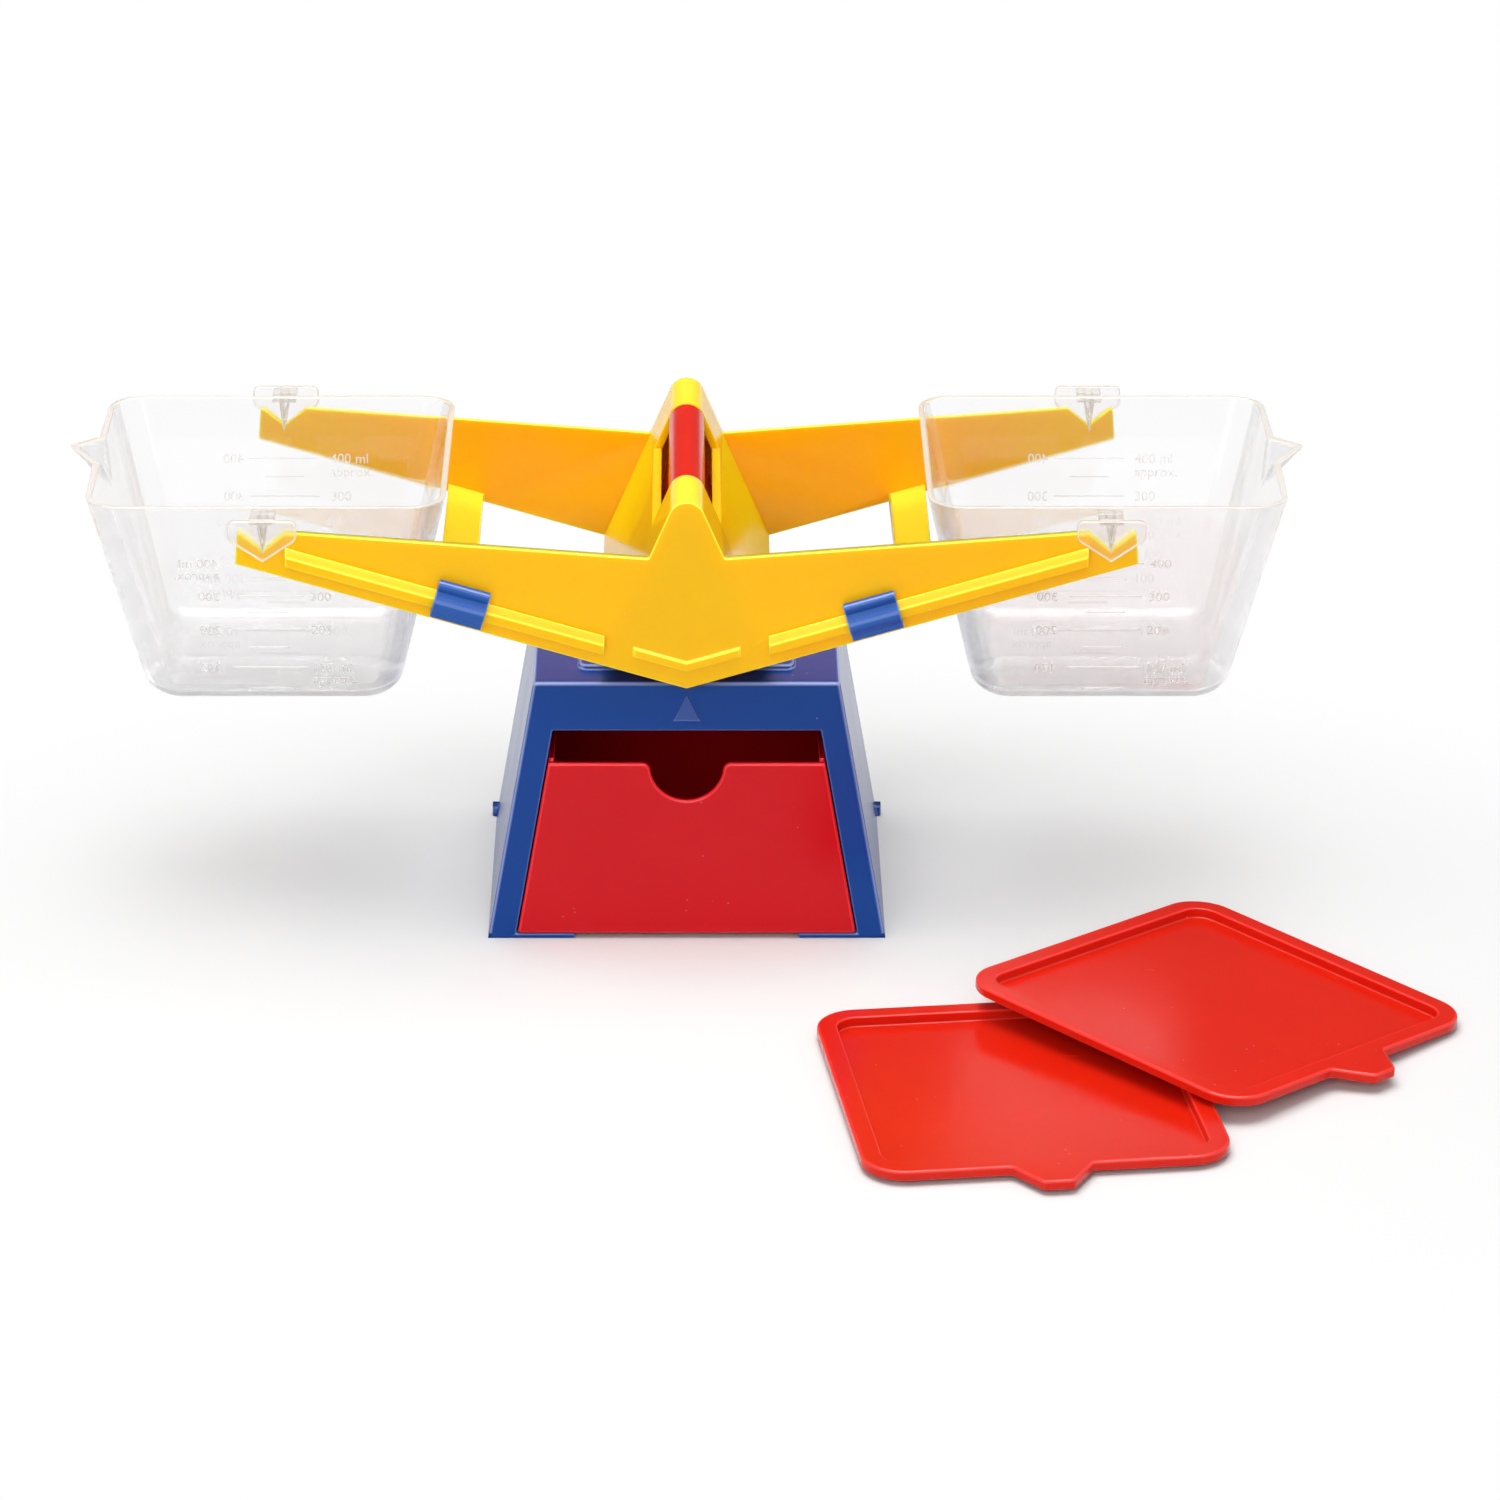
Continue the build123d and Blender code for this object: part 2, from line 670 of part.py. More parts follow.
lid += extrude(rounded_plate(plug_inset), amount=flange_top - lid_top_thickness / 2)
lid -= extrude(
    Pos(0, 0, lid_panel_thickness) * rounded_plate(plug_inset + lid_plug_wall),
    amount=flange_top + cut_overrun,
)

lid_lower = lid.moved(Location((lower_lid_x, lower_lid_y, 0), (0, 0, lower_lid_turn)))

# The upper lid leans on the lower one: its underside lies over the lower lid's long edge, and its
# far corner stands on the table
lower_turn = math.radians(lower_lid_turn)
edge_across = Vector(-math.sin(lower_turn), math.cos(lower_turn), 0)
lean_axis = Vector(math.cos(lower_turn), math.sin(lower_turn), 0)
lean_foot = Vector(lid_length / 2 - plug_inset, lid_width / 2 - plug_inset, 0)
lean_foot = lean_foot.rotate(Axis.Z, upper_lid_turn) + Vector(upper_lid_x, upper_lid_y, 0)
lower_edge = Vector(lower_lid_x, lower_lid_y, 0) + edge_across * (lid_width / 2)
lean_run = (lean_foot - lower_edge).dot(edge_across)
lean = math.degrees(math.asin((flange_top + rest_clearance) / lean_run))
lid_upper = lid.moved(Location((0, 0, 0), (0, 0, upper_lid_turn)))
lid_upper = lid_upper.rotate(Axis((0, 0, 0), lean_axis), -lean)
lid_upper = lid_upper.moved(Location((upper_lid_x, upper_lid_y, -lid_upper.bounding_box().min.Z)))

pieces = {
    "base": base,
    "drawer": drawer,
    "fulcrum_post": post,
    "beam": beam,
    "slider_left": slider_left,
    "slider_right": slider_right,
    "bucket_left": bucket_left,
    "bucket_right": bucket_right,
    "lid_lower": lid_lower,
    "lid_upper": lid_upper,
}
for name, shape in pieces.items():
    export_step(shape, f"parts/{name}.step")
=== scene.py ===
from math import cos, pi, radians, sin, tan

import bmesh
import bpy
import numpy as np
from mathutils import Matrix, Vector
from mathutils.bvhtree import BVHTree
from mathutils.kdtree import KDTree


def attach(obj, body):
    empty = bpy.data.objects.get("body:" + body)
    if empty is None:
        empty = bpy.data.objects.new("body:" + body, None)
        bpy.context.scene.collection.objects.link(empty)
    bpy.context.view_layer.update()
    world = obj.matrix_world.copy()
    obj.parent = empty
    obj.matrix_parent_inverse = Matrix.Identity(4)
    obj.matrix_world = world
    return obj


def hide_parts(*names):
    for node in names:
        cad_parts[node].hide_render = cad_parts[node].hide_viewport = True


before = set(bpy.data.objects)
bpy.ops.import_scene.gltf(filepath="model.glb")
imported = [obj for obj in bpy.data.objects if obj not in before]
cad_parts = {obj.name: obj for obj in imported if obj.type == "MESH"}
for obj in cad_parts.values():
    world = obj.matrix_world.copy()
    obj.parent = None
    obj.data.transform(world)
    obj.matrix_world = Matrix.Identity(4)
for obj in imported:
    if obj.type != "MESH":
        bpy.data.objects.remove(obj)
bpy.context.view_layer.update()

# The table: one wide matt white sheet that the balance and its lids stand on. It takes the soft
# shadows near the object, and further out its colour fades to the plain white of the room.
TABLE_WHITE = (0.73, 0.73, 0.73, 1)
ROOM_WHITE = (1, 1, 1, 1)
TABLE_HALF = 12.0
SHADOW_MIDDLE = (0.03, -0.085, 0)
SHADOW_SHAPE = (1, 1.33, 1)
SHADOW_REACH = 0.21
FADE_REACH = 0.38


class Wire:
    """One socket of a shader, or a shader's tree while it has none.

    a + b, a - b and a * b add a Math node, and so do 1 - a and 2 * a.
    """

    def __init__(self, tree, socket=None):
        self.tree, self.socket = tree, socket

    def add(self, kind, settings=None, sockets=None, out=0):
        """Adds a node, sets its settings and then its sockets, and gives one of its outputs."""
        node = self.tree.nodes.new(kind)
        for name, value in (settings or {}).items():
            setattr(node, name, value)
        for name, value in (sockets or {}).items():
            if isinstance(value, Wire):
                self.tree.links.new(value.socket, node.inputs[name])
            else:
                node.inputs[name].default_value = value
        return Wire(self.tree, node.outputs[out])

    def maths(self, operation, *values):
        """A Math node of that operation on its values, which are wires or numbers."""
        return self.add("ShaderNodeMath", {"operation": operation}, dict(enumerate(values)))

    def __add__(self, other):
        return self.maths("ADD", self, other)

    def __sub__(self, other):
        return self.maths("SUBTRACT", self, other)

    def __mul__(self, other):
        return self.maths("MULTIPLY", self, other)

    def __rsub__(self, other):
        return self.maths("SUBTRACT", other, self)

    __radd__, __rmul__ = __add__, __mul__

    def between(self, low, high):
        """Rises smoothly from 0 at low to 1 at high."""
        return self.add(
            "ShaderNodeMapRange", {"interpolation_type": "SMOOTHSTEP"},
            {"Value": self, "From Min": low, "From Max": high},
        )

    def mixed(self, first, second):
        """The first colour where the value is 0, the second where it is 1."""
        return self.add(
            "ShaderNodeMix", {"data_type": "RGBA"}, {0: self, 6: first, 7: second}, out=2
        )

    def shown(self, output="ShaderNodeOutputMaterial"):
        """Leads the wire, a finished surface or light, into a new output node."""
        end = self.tree.nodes.new(output)
        self.tree.links.new(self.socket, end.inputs["Surface"])


def new_material(name):
    """An empty material and its tree as a Wire."""
    material = bpy.data.materials.new(name)
    material.use_nodes = True
    material.node_tree.nodes.clear()
    return material, Wire(material.node_tree)


def seen_directly(tree):
    """1 for a ray that comes from the camera, from gloss or through clear plastic, and 0 for one
    that a matt surface has sent on."""
    camera, glossy, through, matt = (
        tree.add("ShaderNodeLightPath", out=name)
        for name in ("Is Camera Ray", "Is Glossy Ray", "Is Transmission Ray", "Diffuse Depth")
    )
    seen = tree.maths("MINIMUM", camera + glossy + through, 1.0)
    return seen * (1 - tree.maths("MINIMUM", matt, 1.0))


white, tree = new_material("matt_white_table")
place = tree.add("ShaderNodeTexCoord", out="Object")
aside = tree.add("ShaderNodeVectorMath", {"operation": "SUBTRACT"}, {0: place, 1: SHADOW_MIDDLE})
aside = tree.add("ShaderNodeVectorMath", {"operation": "MULTIPLY"}, {0: aside, 1: SHADOW_SHAPE})
reach = tree.add("ShaderNodeVectorMath", {"operation": "LENGTH"}, {0: aside}, out="Value")
matt = tree.add("ShaderNodeBsdfDiffuse", sockets={"Color": TABLE_WHITE})
glow = tree.add("ShaderNodeEmission", sockets={"Color": ROOM_WHITE, "Strength": 1.0})
away = reach.between(SHADOW_REACH, FADE_REACH) * seen_directly(tree)
tree.add("ShaderNodeMixShader", sockets={0: away, 1: matt, 2: glow}).shown()

table = bpy.data.meshes.new("table")
table.from_pydata(
    [(-TABLE_HALF, -TABLE_HALF, 0), (TABLE_HALF, -TABLE_HALF, 0),
     (TABLE_HALF, TABLE_HALF, 0), (-TABLE_HALF, TABLE_HALF, 0)],
    [], [(0, 1, 2, 3)],
)
table.materials.append(white)
table_sheet = bpy.data.objects.new("table", table)
bpy.context.scene.collection.objects.link(table_sheet)

# The room: even white light from all round, with a dim back that gloss mirrors, a large soft lamp
# overhead and a weaker one in front. A broad lamp that only gloss sees draws the bright lines
# along the edges. The camera stands in front and looks down on the balance from 22 degrees.
ROOM_LIGHT = 0.37
BACK_START, BACK_END = 0.40, 0.85
BACK_DIM = 0.85
LAMP_PLACE, LAMP_TARGET = (-0.06, -0.10, 1.30), (0, 0, 0.05)
LAMP_SIZE, LAMP_POWER = (1.0, 1.0), 17.2
FILL_PLACE, FILL_TARGET = (-0.20, -1.90, 1.00), (0, 0, 0.08)
FILL_SIZE, FILL_POWER = (1.6, 1.0), 17.0
STRIP_PLACE, STRIP_TARGET = (0.0, -0.45, 1.20), (0, 0, 0.10)
STRIP_SIZE, STRIP_POWER = (2.0, 0.7), 45.0
CAMERA_PLACE = (0.0, -1.8263, 0.7864)
CAMERA_PITCH = 67.83
CAMERA_LENS, CAMERA_SENSOR = 150.55, 36.0
CAMERA_SHIFT = 0.0422
CAMERA_RANGE = 100.0

room = bpy.data.worlds.new("room")
room.use_nodes = True
room.node_tree.nodes.clear()
bpy.context.scene.world = room
tree = Wire(room.node_tree)
way = tree.add("ShaderNodeTexCoord", out="Generated")
back = tree.add("ShaderNodeSeparateXYZ", sockets={0: way}, out="Y").between(BACK_START, BACK_END)
back = back * tree.add("ShaderNodeLightPath", out="Is Glossy Ray") * BACK_DIM
strength = (ROOM_LIGHT + (1 - ROOM_LIGHT) * seen_directly(tree)) * (1 - back)
light = tree.add("ShaderNodeBackground", sockets={"Color": ROOM_WHITE, "Strength": strength})
light.shown("ShaderNodeOutputWorld")


def soft_lamp(name, place, target, size, power, only_gloss=False):
    """A lamp of that size, its width and depth, and that power, at a place and turned to a target.
    One that only gloss sees shows in reflections and lights nothing else."""
    lamp = bpy.data.lights.new(name, "AREA")
    lamp.shape, lamp.size, lamp.size_y, lamp.energy = "RECTANGLE", *size, power
    holder = bpy.data.objects.new(name, lamp)
    bpy.context.scene.collection.objects.link(holder)
    holder.location = place
    holder.rotation_euler = Vector(np.subtract(target, place)).to_track_quat("-Z", "Y").to_euler()
    if only_gloss:
        holder.visible_diffuse = holder.visible_transmission = False
    holder.visible_camera = False


soft_lamp("overhead_lamp", LAMP_PLACE, LAMP_TARGET, LAMP_SIZE, LAMP_POWER)
soft_lamp("front_lamp", FILL_PLACE, FILL_TARGET, FILL_SIZE, FILL_POWER)
soft_lamp("overhead_strip", STRIP_PLACE, STRIP_TARGET, STRIP_SIZE, STRIP_POWER, only_gloss=True)

camera = bpy.data.cameras.new("camera")
camera.lens, camera.sensor_width = CAMERA_LENS, CAMERA_SENSOR
camera.shift_x, camera.clip_end = CAMERA_SHIFT, CAMERA_RANGE
view = bpy.data.objects.new("camera", camera)
view.location = CAMERA_PLACE
view.rotation_euler = (radians(CAMERA_PITCH), 0, 0)
bpy.context.scene.collection.objects.link(view)
bpy.context.scene.camera = view
bpy.context.scene.view_settings.view_transform = "Standard"

# Base: a box with sloped sides in blue polystyrene, one injection moulding. Every arris is
# slightly round, as a mould's is, and its faces are glossy with a faint skin.
BLUE = (0.001, 0.048, 0.270, 1)
# White added to the blue's painted highlight on its arrises.
BLUE_GLINT = 0.35
PLASTIC_IOR = 1.5
GLOSS, SHINE = 0.16, 0.22
FLOW, FLOW_GRAIN, FLOW_SPREAD = 0.06, 14.0, (1, 1, 2.2)
DUST, DUST_WHITE = 0.3, 0.38
DUST_GRAIN, DUST_SIZE = 260.0, (0.06, 0.10)
DUST_PATCHES, DUST_SHARE = 60.0, (0.60, 0.66)
SCRATCH, SCRATCH_GRAIN, SCRATCH_SPREAD = 0.3, 40.0, (1, 38, 38)
SCRATCH_TURNS, SCRATCH_SHARE = (0.4, 1.3, 2.5), (0.68, 0.74)
HAZE_GRAIN, SKIN_GRAIN = 22.0, 260.0
DULLING = 0.10
SKIN_STRENGTH, SKIN_RELIEF = 0.10, 0.0004
SKIN_MIX = (0.6, 0.8, 0.15)
# The painted highlight on arrises: the colour times a gain, plus white, mixed in by a share that
# the flow varies.
GLINT, GLINT_WHITE, GLINT_SHARE = 1.6, 0.07, 0.6
# Where the painted shade on inward faces fades out, by distance from the middle across X.
PAINTED_SHADE_FADE = (0.050, 0.125)
SINK = 0.005
SINK_RADIUS = (1.0, 0.1, 0.1)
MERGE = 1e-6
EVENING = 100
FLAT = 0.6
ARRIS = 0.0005
ARRIS_STEPS = 2
ARRIS_ANGLE = 30.0
ARRIS_ROOM = 0.42
SIDEWAYS = 0.4
EASING_ROUNDS = 10
SKIN_LIMIT = 1.3
FOLDED = -0.2
EASED, LEAST_WEIGHT = 0.4, 0.12
# Painted light from above: the share of highlight that an upright face and a downward one keep.
UPRIGHT, UNDERSIDE = 0.6, 0.35
# The base's painted highlights: the pointer's face, the middle of its broad rounds and a share on
# its sharper edges.
POINTER_FROM, POINTER_PAINTED_LIGHT = -0.05075, 0.12
STRAIGHT, TURNED = 0.96, 0.76
SHARP_SHARE = 0.4


def cloud(tree, place, scale, detail=2.0, stretch=(1, 1, 1), turn=0.0):
    """Noise from 0 to 1 over a place in metres, with a grain of about 1 / scale, drawn out along
    an axis by stretch and turned about Z by turn."""
    spread = tree.add(
        "ShaderNodeMapping", {"vector_type": "POINT"},
        {"Vector": place, "Scale": stretch, "Rotation": (0, 0, turn)},
    )
    return tree.add(
        "ShaderNodeTexNoise", {"noise_dimensions": "3D"},
        {"Vector": spread, "Scale": scale, "Detail": detail},
    )


def marked(tree):
    """A piece's attribute arris: above 0 on the faces that get a painted highlight, or on clear
    plastic a pale rim, and under 0 on those that get a painted shade."""
    return tree.add("ShaderNodeAttribute", {"attribute_name": "arris"}, out="Fac")


def moulded_plastic(name, colour, gloss=GLOSS, flow=FLOW, scratch=SCRATCH, dust=DUST, shine=SHINE,
                    depth=0.0, sink=SINK_RADIUS, glint=GLINT_WHITE, inner=None):
    """Glossy moulded plastic: its colour flows a little, its skin is not quite even, and handling
    has left fine scratches and a few pale specks of dust. Its arrises, where the attribute is
    above 0, carry a painted highlight: they are paler by the glint. Light goes a little way into
    it by the depth, a share of its light, and the sink, how far each colour of it goes. Faces
    where the attribute is under 0 turn to the inner colour, a painted shade, near the middle of
    the piece."""
    material, tree = new_material(name)
    place = tree.add("ShaderNodeTexCoord", out="Object")
    pale = tuple((1 - DUST_WHITE) * c + DUST_WHITE for c in colour[:3]) + (1,)
    deep = tuple(c * (1 - 2 * flow) for c in colour[:3]) + (1,)
    bright = tuple(min(c * (1 + flow), 1) for c in colour[:3]) + (1,)
    streaks = cloud(tree, place, FLOW_GRAIN, 3.0, FLOW_SPREAD)
    body = streaks.mixed(deep, bright)
    cells = tree.add(
        "ShaderNodeTexVoronoi", sockets={"Vector": place, "Scale": DUST_GRAIN}, out="Distance"
    )
    chosen = cloud(tree, place, DUST_PATCHES, 1.0).between(*DUST_SHARE)
    speck = (1 - cells.between(*DUST_SIZE)) * chosen * dust
    dusted = speck.mixed(body, pale)
    # Painted highlight: faces marked above 0 turn toward a paler copy of the colour.
    painted_highlight = tuple(min(GLINT * c + glint, 1) for c in colour[:3]) + (1,)
    edge = marked(tree)
    with_painted_light = (edge * (GLINT_SHARE + streaks * GLINT_SHARE)).mixed(dusted, painted_highlight)
    # Painted shade: faces marked under 0 turn to the deeper inner colour near the middle.
    if inner:
        across = tree.add("ShaderNodeSeparateXYZ", sockets={0: place}, out="X")
        aside = tree.maths("ABSOLUTE", across).between(*PAINTED_SHADE_FADE)
        with_painted_light = ((0 - edge) * (1 - aside)).mixed(with_painted_light, inner)
    lines = [
        cloud(tree, place, SCRATCH_GRAIN, 2.0, SCRATCH_SPREAD, turn).between(*SCRATCH_SHARE)
        for turn in SCRATCH_TURNS
    ]
    scratches = (lines[0] + lines[1] + lines[2]) * scratch
    haze = cloud(tree, place, HAZE_GRAIN, 4.0)
    roughness = gloss + haze * DULLING + scratches * DULLING
    fine, broad, cut = SKIN_MIX
    skin = cloud(tree, place, SKIN_GRAIN, 2.0) * fine + haze * broad - scratches * cut
    bump = tree.add(
        "ShaderNodeBump",
        sockets={"Strength": SKIN_STRENGTH, "Distance": SKIN_RELIEF, "Height": skin},
    )
    tree.add(
        "ShaderNodeBsdfPrincipled",
        sockets={
            "Base Color": with_painted_light, "Roughness": roughness, "Normal": bump,
            "IOR": PLASTIC_IOR, "Specular IOR Level": shine, "Subsurface Weight": depth,
            "Subsurface Radius": sink, "Subsurface Scale": SINK,
        },
    ).shown()
    return material


def weigh_arrises(mesh, arris):
    """Weighs how far each edge of a mesh is rounded: 0 for one flatter than ARRIS_ANGLE, else
    ARRIS_ROOM times the width of the narrowest face beside it over the arris, and 1 at most. A
    face's width is measured across the edge, along the sides that leave it sideways."""
    weight = mesh.edges.layers.float.new("bevel_weight_edge")
    for edge in mesh.edges:
        if len(edge.link_faces) == 2 and edge.calc_face_angle() > radians(ARRIS_ANGLE):
            along = (edge.verts[1].co - edge.verts[0].co).normalized()
            room = arris / ARRIS_ROOM
            for loop in edge.link_loops:
                for beside in (loop.link_loop_next.edge, loop.link_loop_prev.edge):
                    way = beside.verts[1].co - beside.verts[0].co
                    across = way.cross(along).length
                    if across > SIDEWAYS * way.length:
                        room = min(room, across)
            edge[weight] = ARRIS_ROOM * room / arris


def ease_arrises(piece, skin, arris):
    """Lowers the weights of the edges whose rounding leaves the skin or folds over, until none
    does, so that no corner of the rounded piece stands out."""
    shape = piece.data
    corners = KDTree(len(shape.vertices))
    for index, corner in enumerate(shape.vertices):
        corners.insert(corner.co, index)
    corners.balance()
    ends = np.array([edge.vertices for edge in shape.edges])
    weights = np.empty(len(ends), np.float32)
    layer = shape.attributes["bevel_weight_edge"].data
    layer.foreach_get("value", weights)
    for _ in range(EASING_ROUNDS):
        eased = piece.evaluated_get(bpy.context.evaluated_depsgraph_get()).to_mesh()
        eased.calc_loop_triangles()
        places = np.array([corner.co for corner in eased.vertices])
        threes = places[np.array([three.vertices for three in eased.loop_triangles])]
        across = np.cross(threes[:, 1] - threes[:, 0], threes[:, 2] - threes[:, 0])
        size = np.linalg.norm(across, axis=1)
        kept = size > MERGE**2
        faulty = {
            corners.find(place)[1] for place in places
            if skin.find_nearest(place)[3] > SKIN_LIMIT * arris
        }
        for three, facing in zip(threes[kept], across[kept] / size[kept, None]):
            if skin.find_nearest(three.mean(0))[1].dot(facing) < FOLDED:
                faulty.update(corners.find(place)[1] for place in three)
        if not faulty:
            break
        weights[np.isin(ends, list(faulty)).any(axis=1)] *= EASED
        weights[weights < LEAST_WEIGHT] = 0
        layer.foreach_set("value", weights)
        shape.update()


def placed(name, shape, body, material):
    """An object of that mesh, at the origin, that rides on a body and has a slot's finish."""
    shape.materials.clear()
    shape.materials.append(material)
    piece = bpy.data.objects.new(name, shape)
    bpy.context.scene.collection.objects.link(piece)
    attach(piece, body)
    return piece


def evened(piece):
    """Shades a piece smoothly, its flat faces flat, by normals weighted with the faces' size."""
    evening = piece.modifiers.new("evening", "WEIGHTED_NORMAL")
    evening.weight, evening.keep_sharp = EVENING, False


def painted_light_from_above(normals):
    """How much painted highlight a face gets, as if lit from above: 1 for a face that looks up,
    UPRIGHT for an upright one and UNDERSIDE for one that looks down: UPRIGHT plus the height of
    the normal, between UNDERSIDE and 1."""
    return np.clip(UPRIGHT + normals[:, 2], UNDERSIDE, 1)


def as_rounded(middles, normals, values):
    """The marks of a piece whose rounded edges alone get the painted highlight."""
    return values


def finished(node, body, material, arris=ARRIS, weigh=as_rounded):
    """A copy of a CAD node that stands for it: its doubles merged, its flat faces joined, and
    its edges rounded by the arris. Its faces have the attribute arris, which marks painted light:
    weigh gives it for their middles, their normals and their values, the painted light from
    above on a rounded edge and else 0."""
    mesh = bmesh.new()
    mesh.from_mesh(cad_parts[node].data)
    bmesh.ops.remove_doubles(mesh, verts=mesh.verts, dist=MERGE)
    skin = BVHTree.FromBMesh(mesh)
    bmesh.ops.dissolve_limit(
        mesh, angle_limit=radians(FLAT), verts=mesh.verts, edges=mesh.edges
    )
    weigh_arrises(mesh, arris)
    for face in mesh.faces:
        face.smooth = True
    shape = bpy.data.meshes.new(node + "_moulding")
    mesh.to_mesh(shape)
    mesh.free()
    piece = placed(node + "_moulding", shape, body, material)
    rounding = piece.modifiers.new("arris", "BEVEL")
    rounding.width, rounding.segments, rounding.limit_method = arris, ARRIS_STEPS, "WEIGHT"
    rounding.use_clamp_overlap = rounding.loop_slide = False
    shape.materials.append(material)
    rounding.material = 1
    ease_arrises(piece, skin, arris)
    shape = bpy.data.meshes.new_from_object(
        piece.evaluated_get(bpy.context.evaluated_depsgraph_get())
    )
    mesh = bmesh.new()
    mesh.from_mesh(shape)
    bmesh.ops.remove_doubles(mesh, verts=mesh.verts, dist=MERGE)
    mesh.to_mesh(shape)
    mesh.free()
    marks = np.empty(len(shape.polygons), np.int32)
    shape.polygons.foreach_get("material_index", marks)
    normals = np.array([face.normal for face in shape.polygons])
    middles = np.array([face.center for face in shape.polygons])
    values = weigh(middles, normals, marks * painted_light_from_above(normals))
    shape.attributes.new("arris", "FLOAT", "FACE").data.foreach_set("value", values.astype("f"))
    shape.polygons.foreach_set("material_index", 0 * marks)
    shape.materials.pop()
    piece.modifiers.clear()
    piece.data = shape
    evened(piece)
    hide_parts(node)


def base_painted_highlights(middles, normals, values):
    """The base's painted highlights: its large rounded edges are painted bright along their
    middle, where a face turns furthest from the main directions, and its sharper ones have a
    share of that. The pointer, which stands out before the front panel, has painted bright edges
    and a face painted a little brighter than the panel."""
    turned = (STRAIGHT - np.abs(normals).max(1)) / (STRAIGHT - TURNED)
    pointer = middles[:, 1] < POINTER_FROM
    sharp = np.where(pointer, values, SHARP_SHARE * values)
    broad = np.clip(turned, 0, 1) * painted_light_from_above(normals)
    return np.maximum(np.maximum(sharp, broad), POINTER_PAINTED_LIGHT * pointer)


blue_plastic = moulded_plastic("blue_polystyrene", BLUE, glint=BLUE_GLINT)
finished("base", "base", blue_plastic, weigh=base_painted_highlights)

# Drawer: a tray in red polystyrene that slides on the base's runners, with a rounded finger notch
# in its lower front. Its front keeps a high gloss.
RED = (0.61, 0.002, 0.008, 1)
# RED_GLINT is the white in the reds' painted highlight on their arrises.
RED_DUST, RED_DEPTH, RED_GLINT = 0.2, 0.3, 0.03
DRAWER_ARRIS = 0.0006

red_plastic = moulded_plastic(
    "red_polystyrene", RED, dust=RED_DUST, depth=RED_DEPTH, glint=RED_GLINT
)
finished("drawer", "drawer", red_plastic, DRAWER_ARRIS)

# Fulcrum post: a hollow wedge in a warmer red, snapped into the slot of the base's deck. The knife
# edges at its two ends carry the beam.
WARM_RED = (0.66, 0.013, 0.003, 1)
WARM_DEPTH = 0.6

warm_red_plastic = moulded_plastic(
    "warm_red_polystyrene", WARM_RED, depth=WARM_DEPTH, glint=RED_GLINT
)
finished("fulcrum_post", "base", warm_red_plastic)

# Beam: one yellow moulding, two profiled plates joined by a tent-shaped web. It rocks on the post
# and carries the buckets in the notches at its ends.
YELLOW = (1.0, 0.54, 0.001, 1)
# A deeper, more orange yellow, painted as shade on the plates' faces that look inward at each
# other.
YELLOW_PAINTED_SHADE = (1.0, 0.435, 0.002, 1)
YELLOW_SINK = (0.7, 0.75, 0.05)
INWARD = 0.9
YELLOW_FLOW, YELLOW_DEPTH = 0.03, 0.85
BEAM_ARRIS = 0.0004
# A share of painted highlight on the beam's upward faces, rising with the height of their normals.
PAINTED_TOP_LIGHT, TOP_FROM, TOP_RANGE = 0.5, 0.38, 0.35
WINDOW = (0.0115, 0.0345)
WINDOW_FROM = 0.1293


def beam_painted_light(middles, normals, values):
    """The beam's painted light: the upward faces of the beam, its rails and its chevron are
    painted paler, as if light fell into them from above. Round the window, in the ridge's shade,
    nothing is. The plates' faces that look inward at each other are -1 and get a painted shade,
    a deeper colour."""
    upward = np.clip((normals[:, 2] - TOP_FROM) / TOP_RANGE, 0, 1)
    values = np.maximum(values, PAINTED_TOP_LIGHT * upward)
    at_window = (np.abs(middles[:, :2]) < WINDOW).all(1) & (middles[:, 2] > WINDOW_FROM)
    inward = normals[:, 1] * np.sign(middles[:, 1]) < -INWARD
    return np.where(at_window, 0, np.where(inward & (values == 0), -1, values))


yellow_plastic = moulded_plastic(
    "yellow_polystyrene", YELLOW, flow=YELLOW_FLOW, depth=YELLOW_DEPTH, sink=YELLOW_SINK,
    inner=YELLOW_PAINTED_SHADE,
)
finished("beam", "beam", yellow_plastic, BEAM_ARRIS, beam_painted_light)

# Sliders: two blue clips, extruded round the outline of the rails on the beam's front plate and
# open at the back. They have a bead on top, a round belly in front and a foot below, and are
# pushed along the rails to trim the balance.
SLIDER_BLUE = (0.004, 0.080, 0.370, 1)
SLIDER_GLOSS, SLIDER_SHINE = 0.12, 0.4
PIVOT_HEIGHT = 0.1380
PLATE_FACE = -0.0582
APEX_DROP = 0.0521
END_DROP = 0.0118
END_REACH = 0.1359
RAIL_LIFT = 0.0044
RAIL_OUTLINE = np.array([(0, 1.2), (3.0, 0), (3.0, 3.1), (1.3, 5.7), (0, 4.5)]) * 0.001
RAIL_CLEARANCE = 0.0002
CLIP_WALL = 0.0013
CLIP_ROUNDS = np.array([(2.15, 7.6, 1.7), (1.8, 1.55, 3.3), (1.5, -1.2, 1.0)]) * 0.001
CLIP_EYE = np.array((1.0, 2.9)) * 0.001
CLIP_LENGTH = 0.016
CLIP_ARRIS = 0.0003
CLIP_OPENING, CLIP_MOUTH = 0.0003, 0.0044
CLIP_SOFTNESS = 0.00012
CLIP_STEPS = 160
# The slider's bands marked for a painted highlight: its rounded ends, not its long middle.
CLIP_PAINTED_HIGHLIGHTS = [1, 1, 1, 0, 1, 1, 1]
EDGE_STEPS = 4
CLIP_REACHES = {"slider_left": -0.0704, "slider_right": 0.0585}


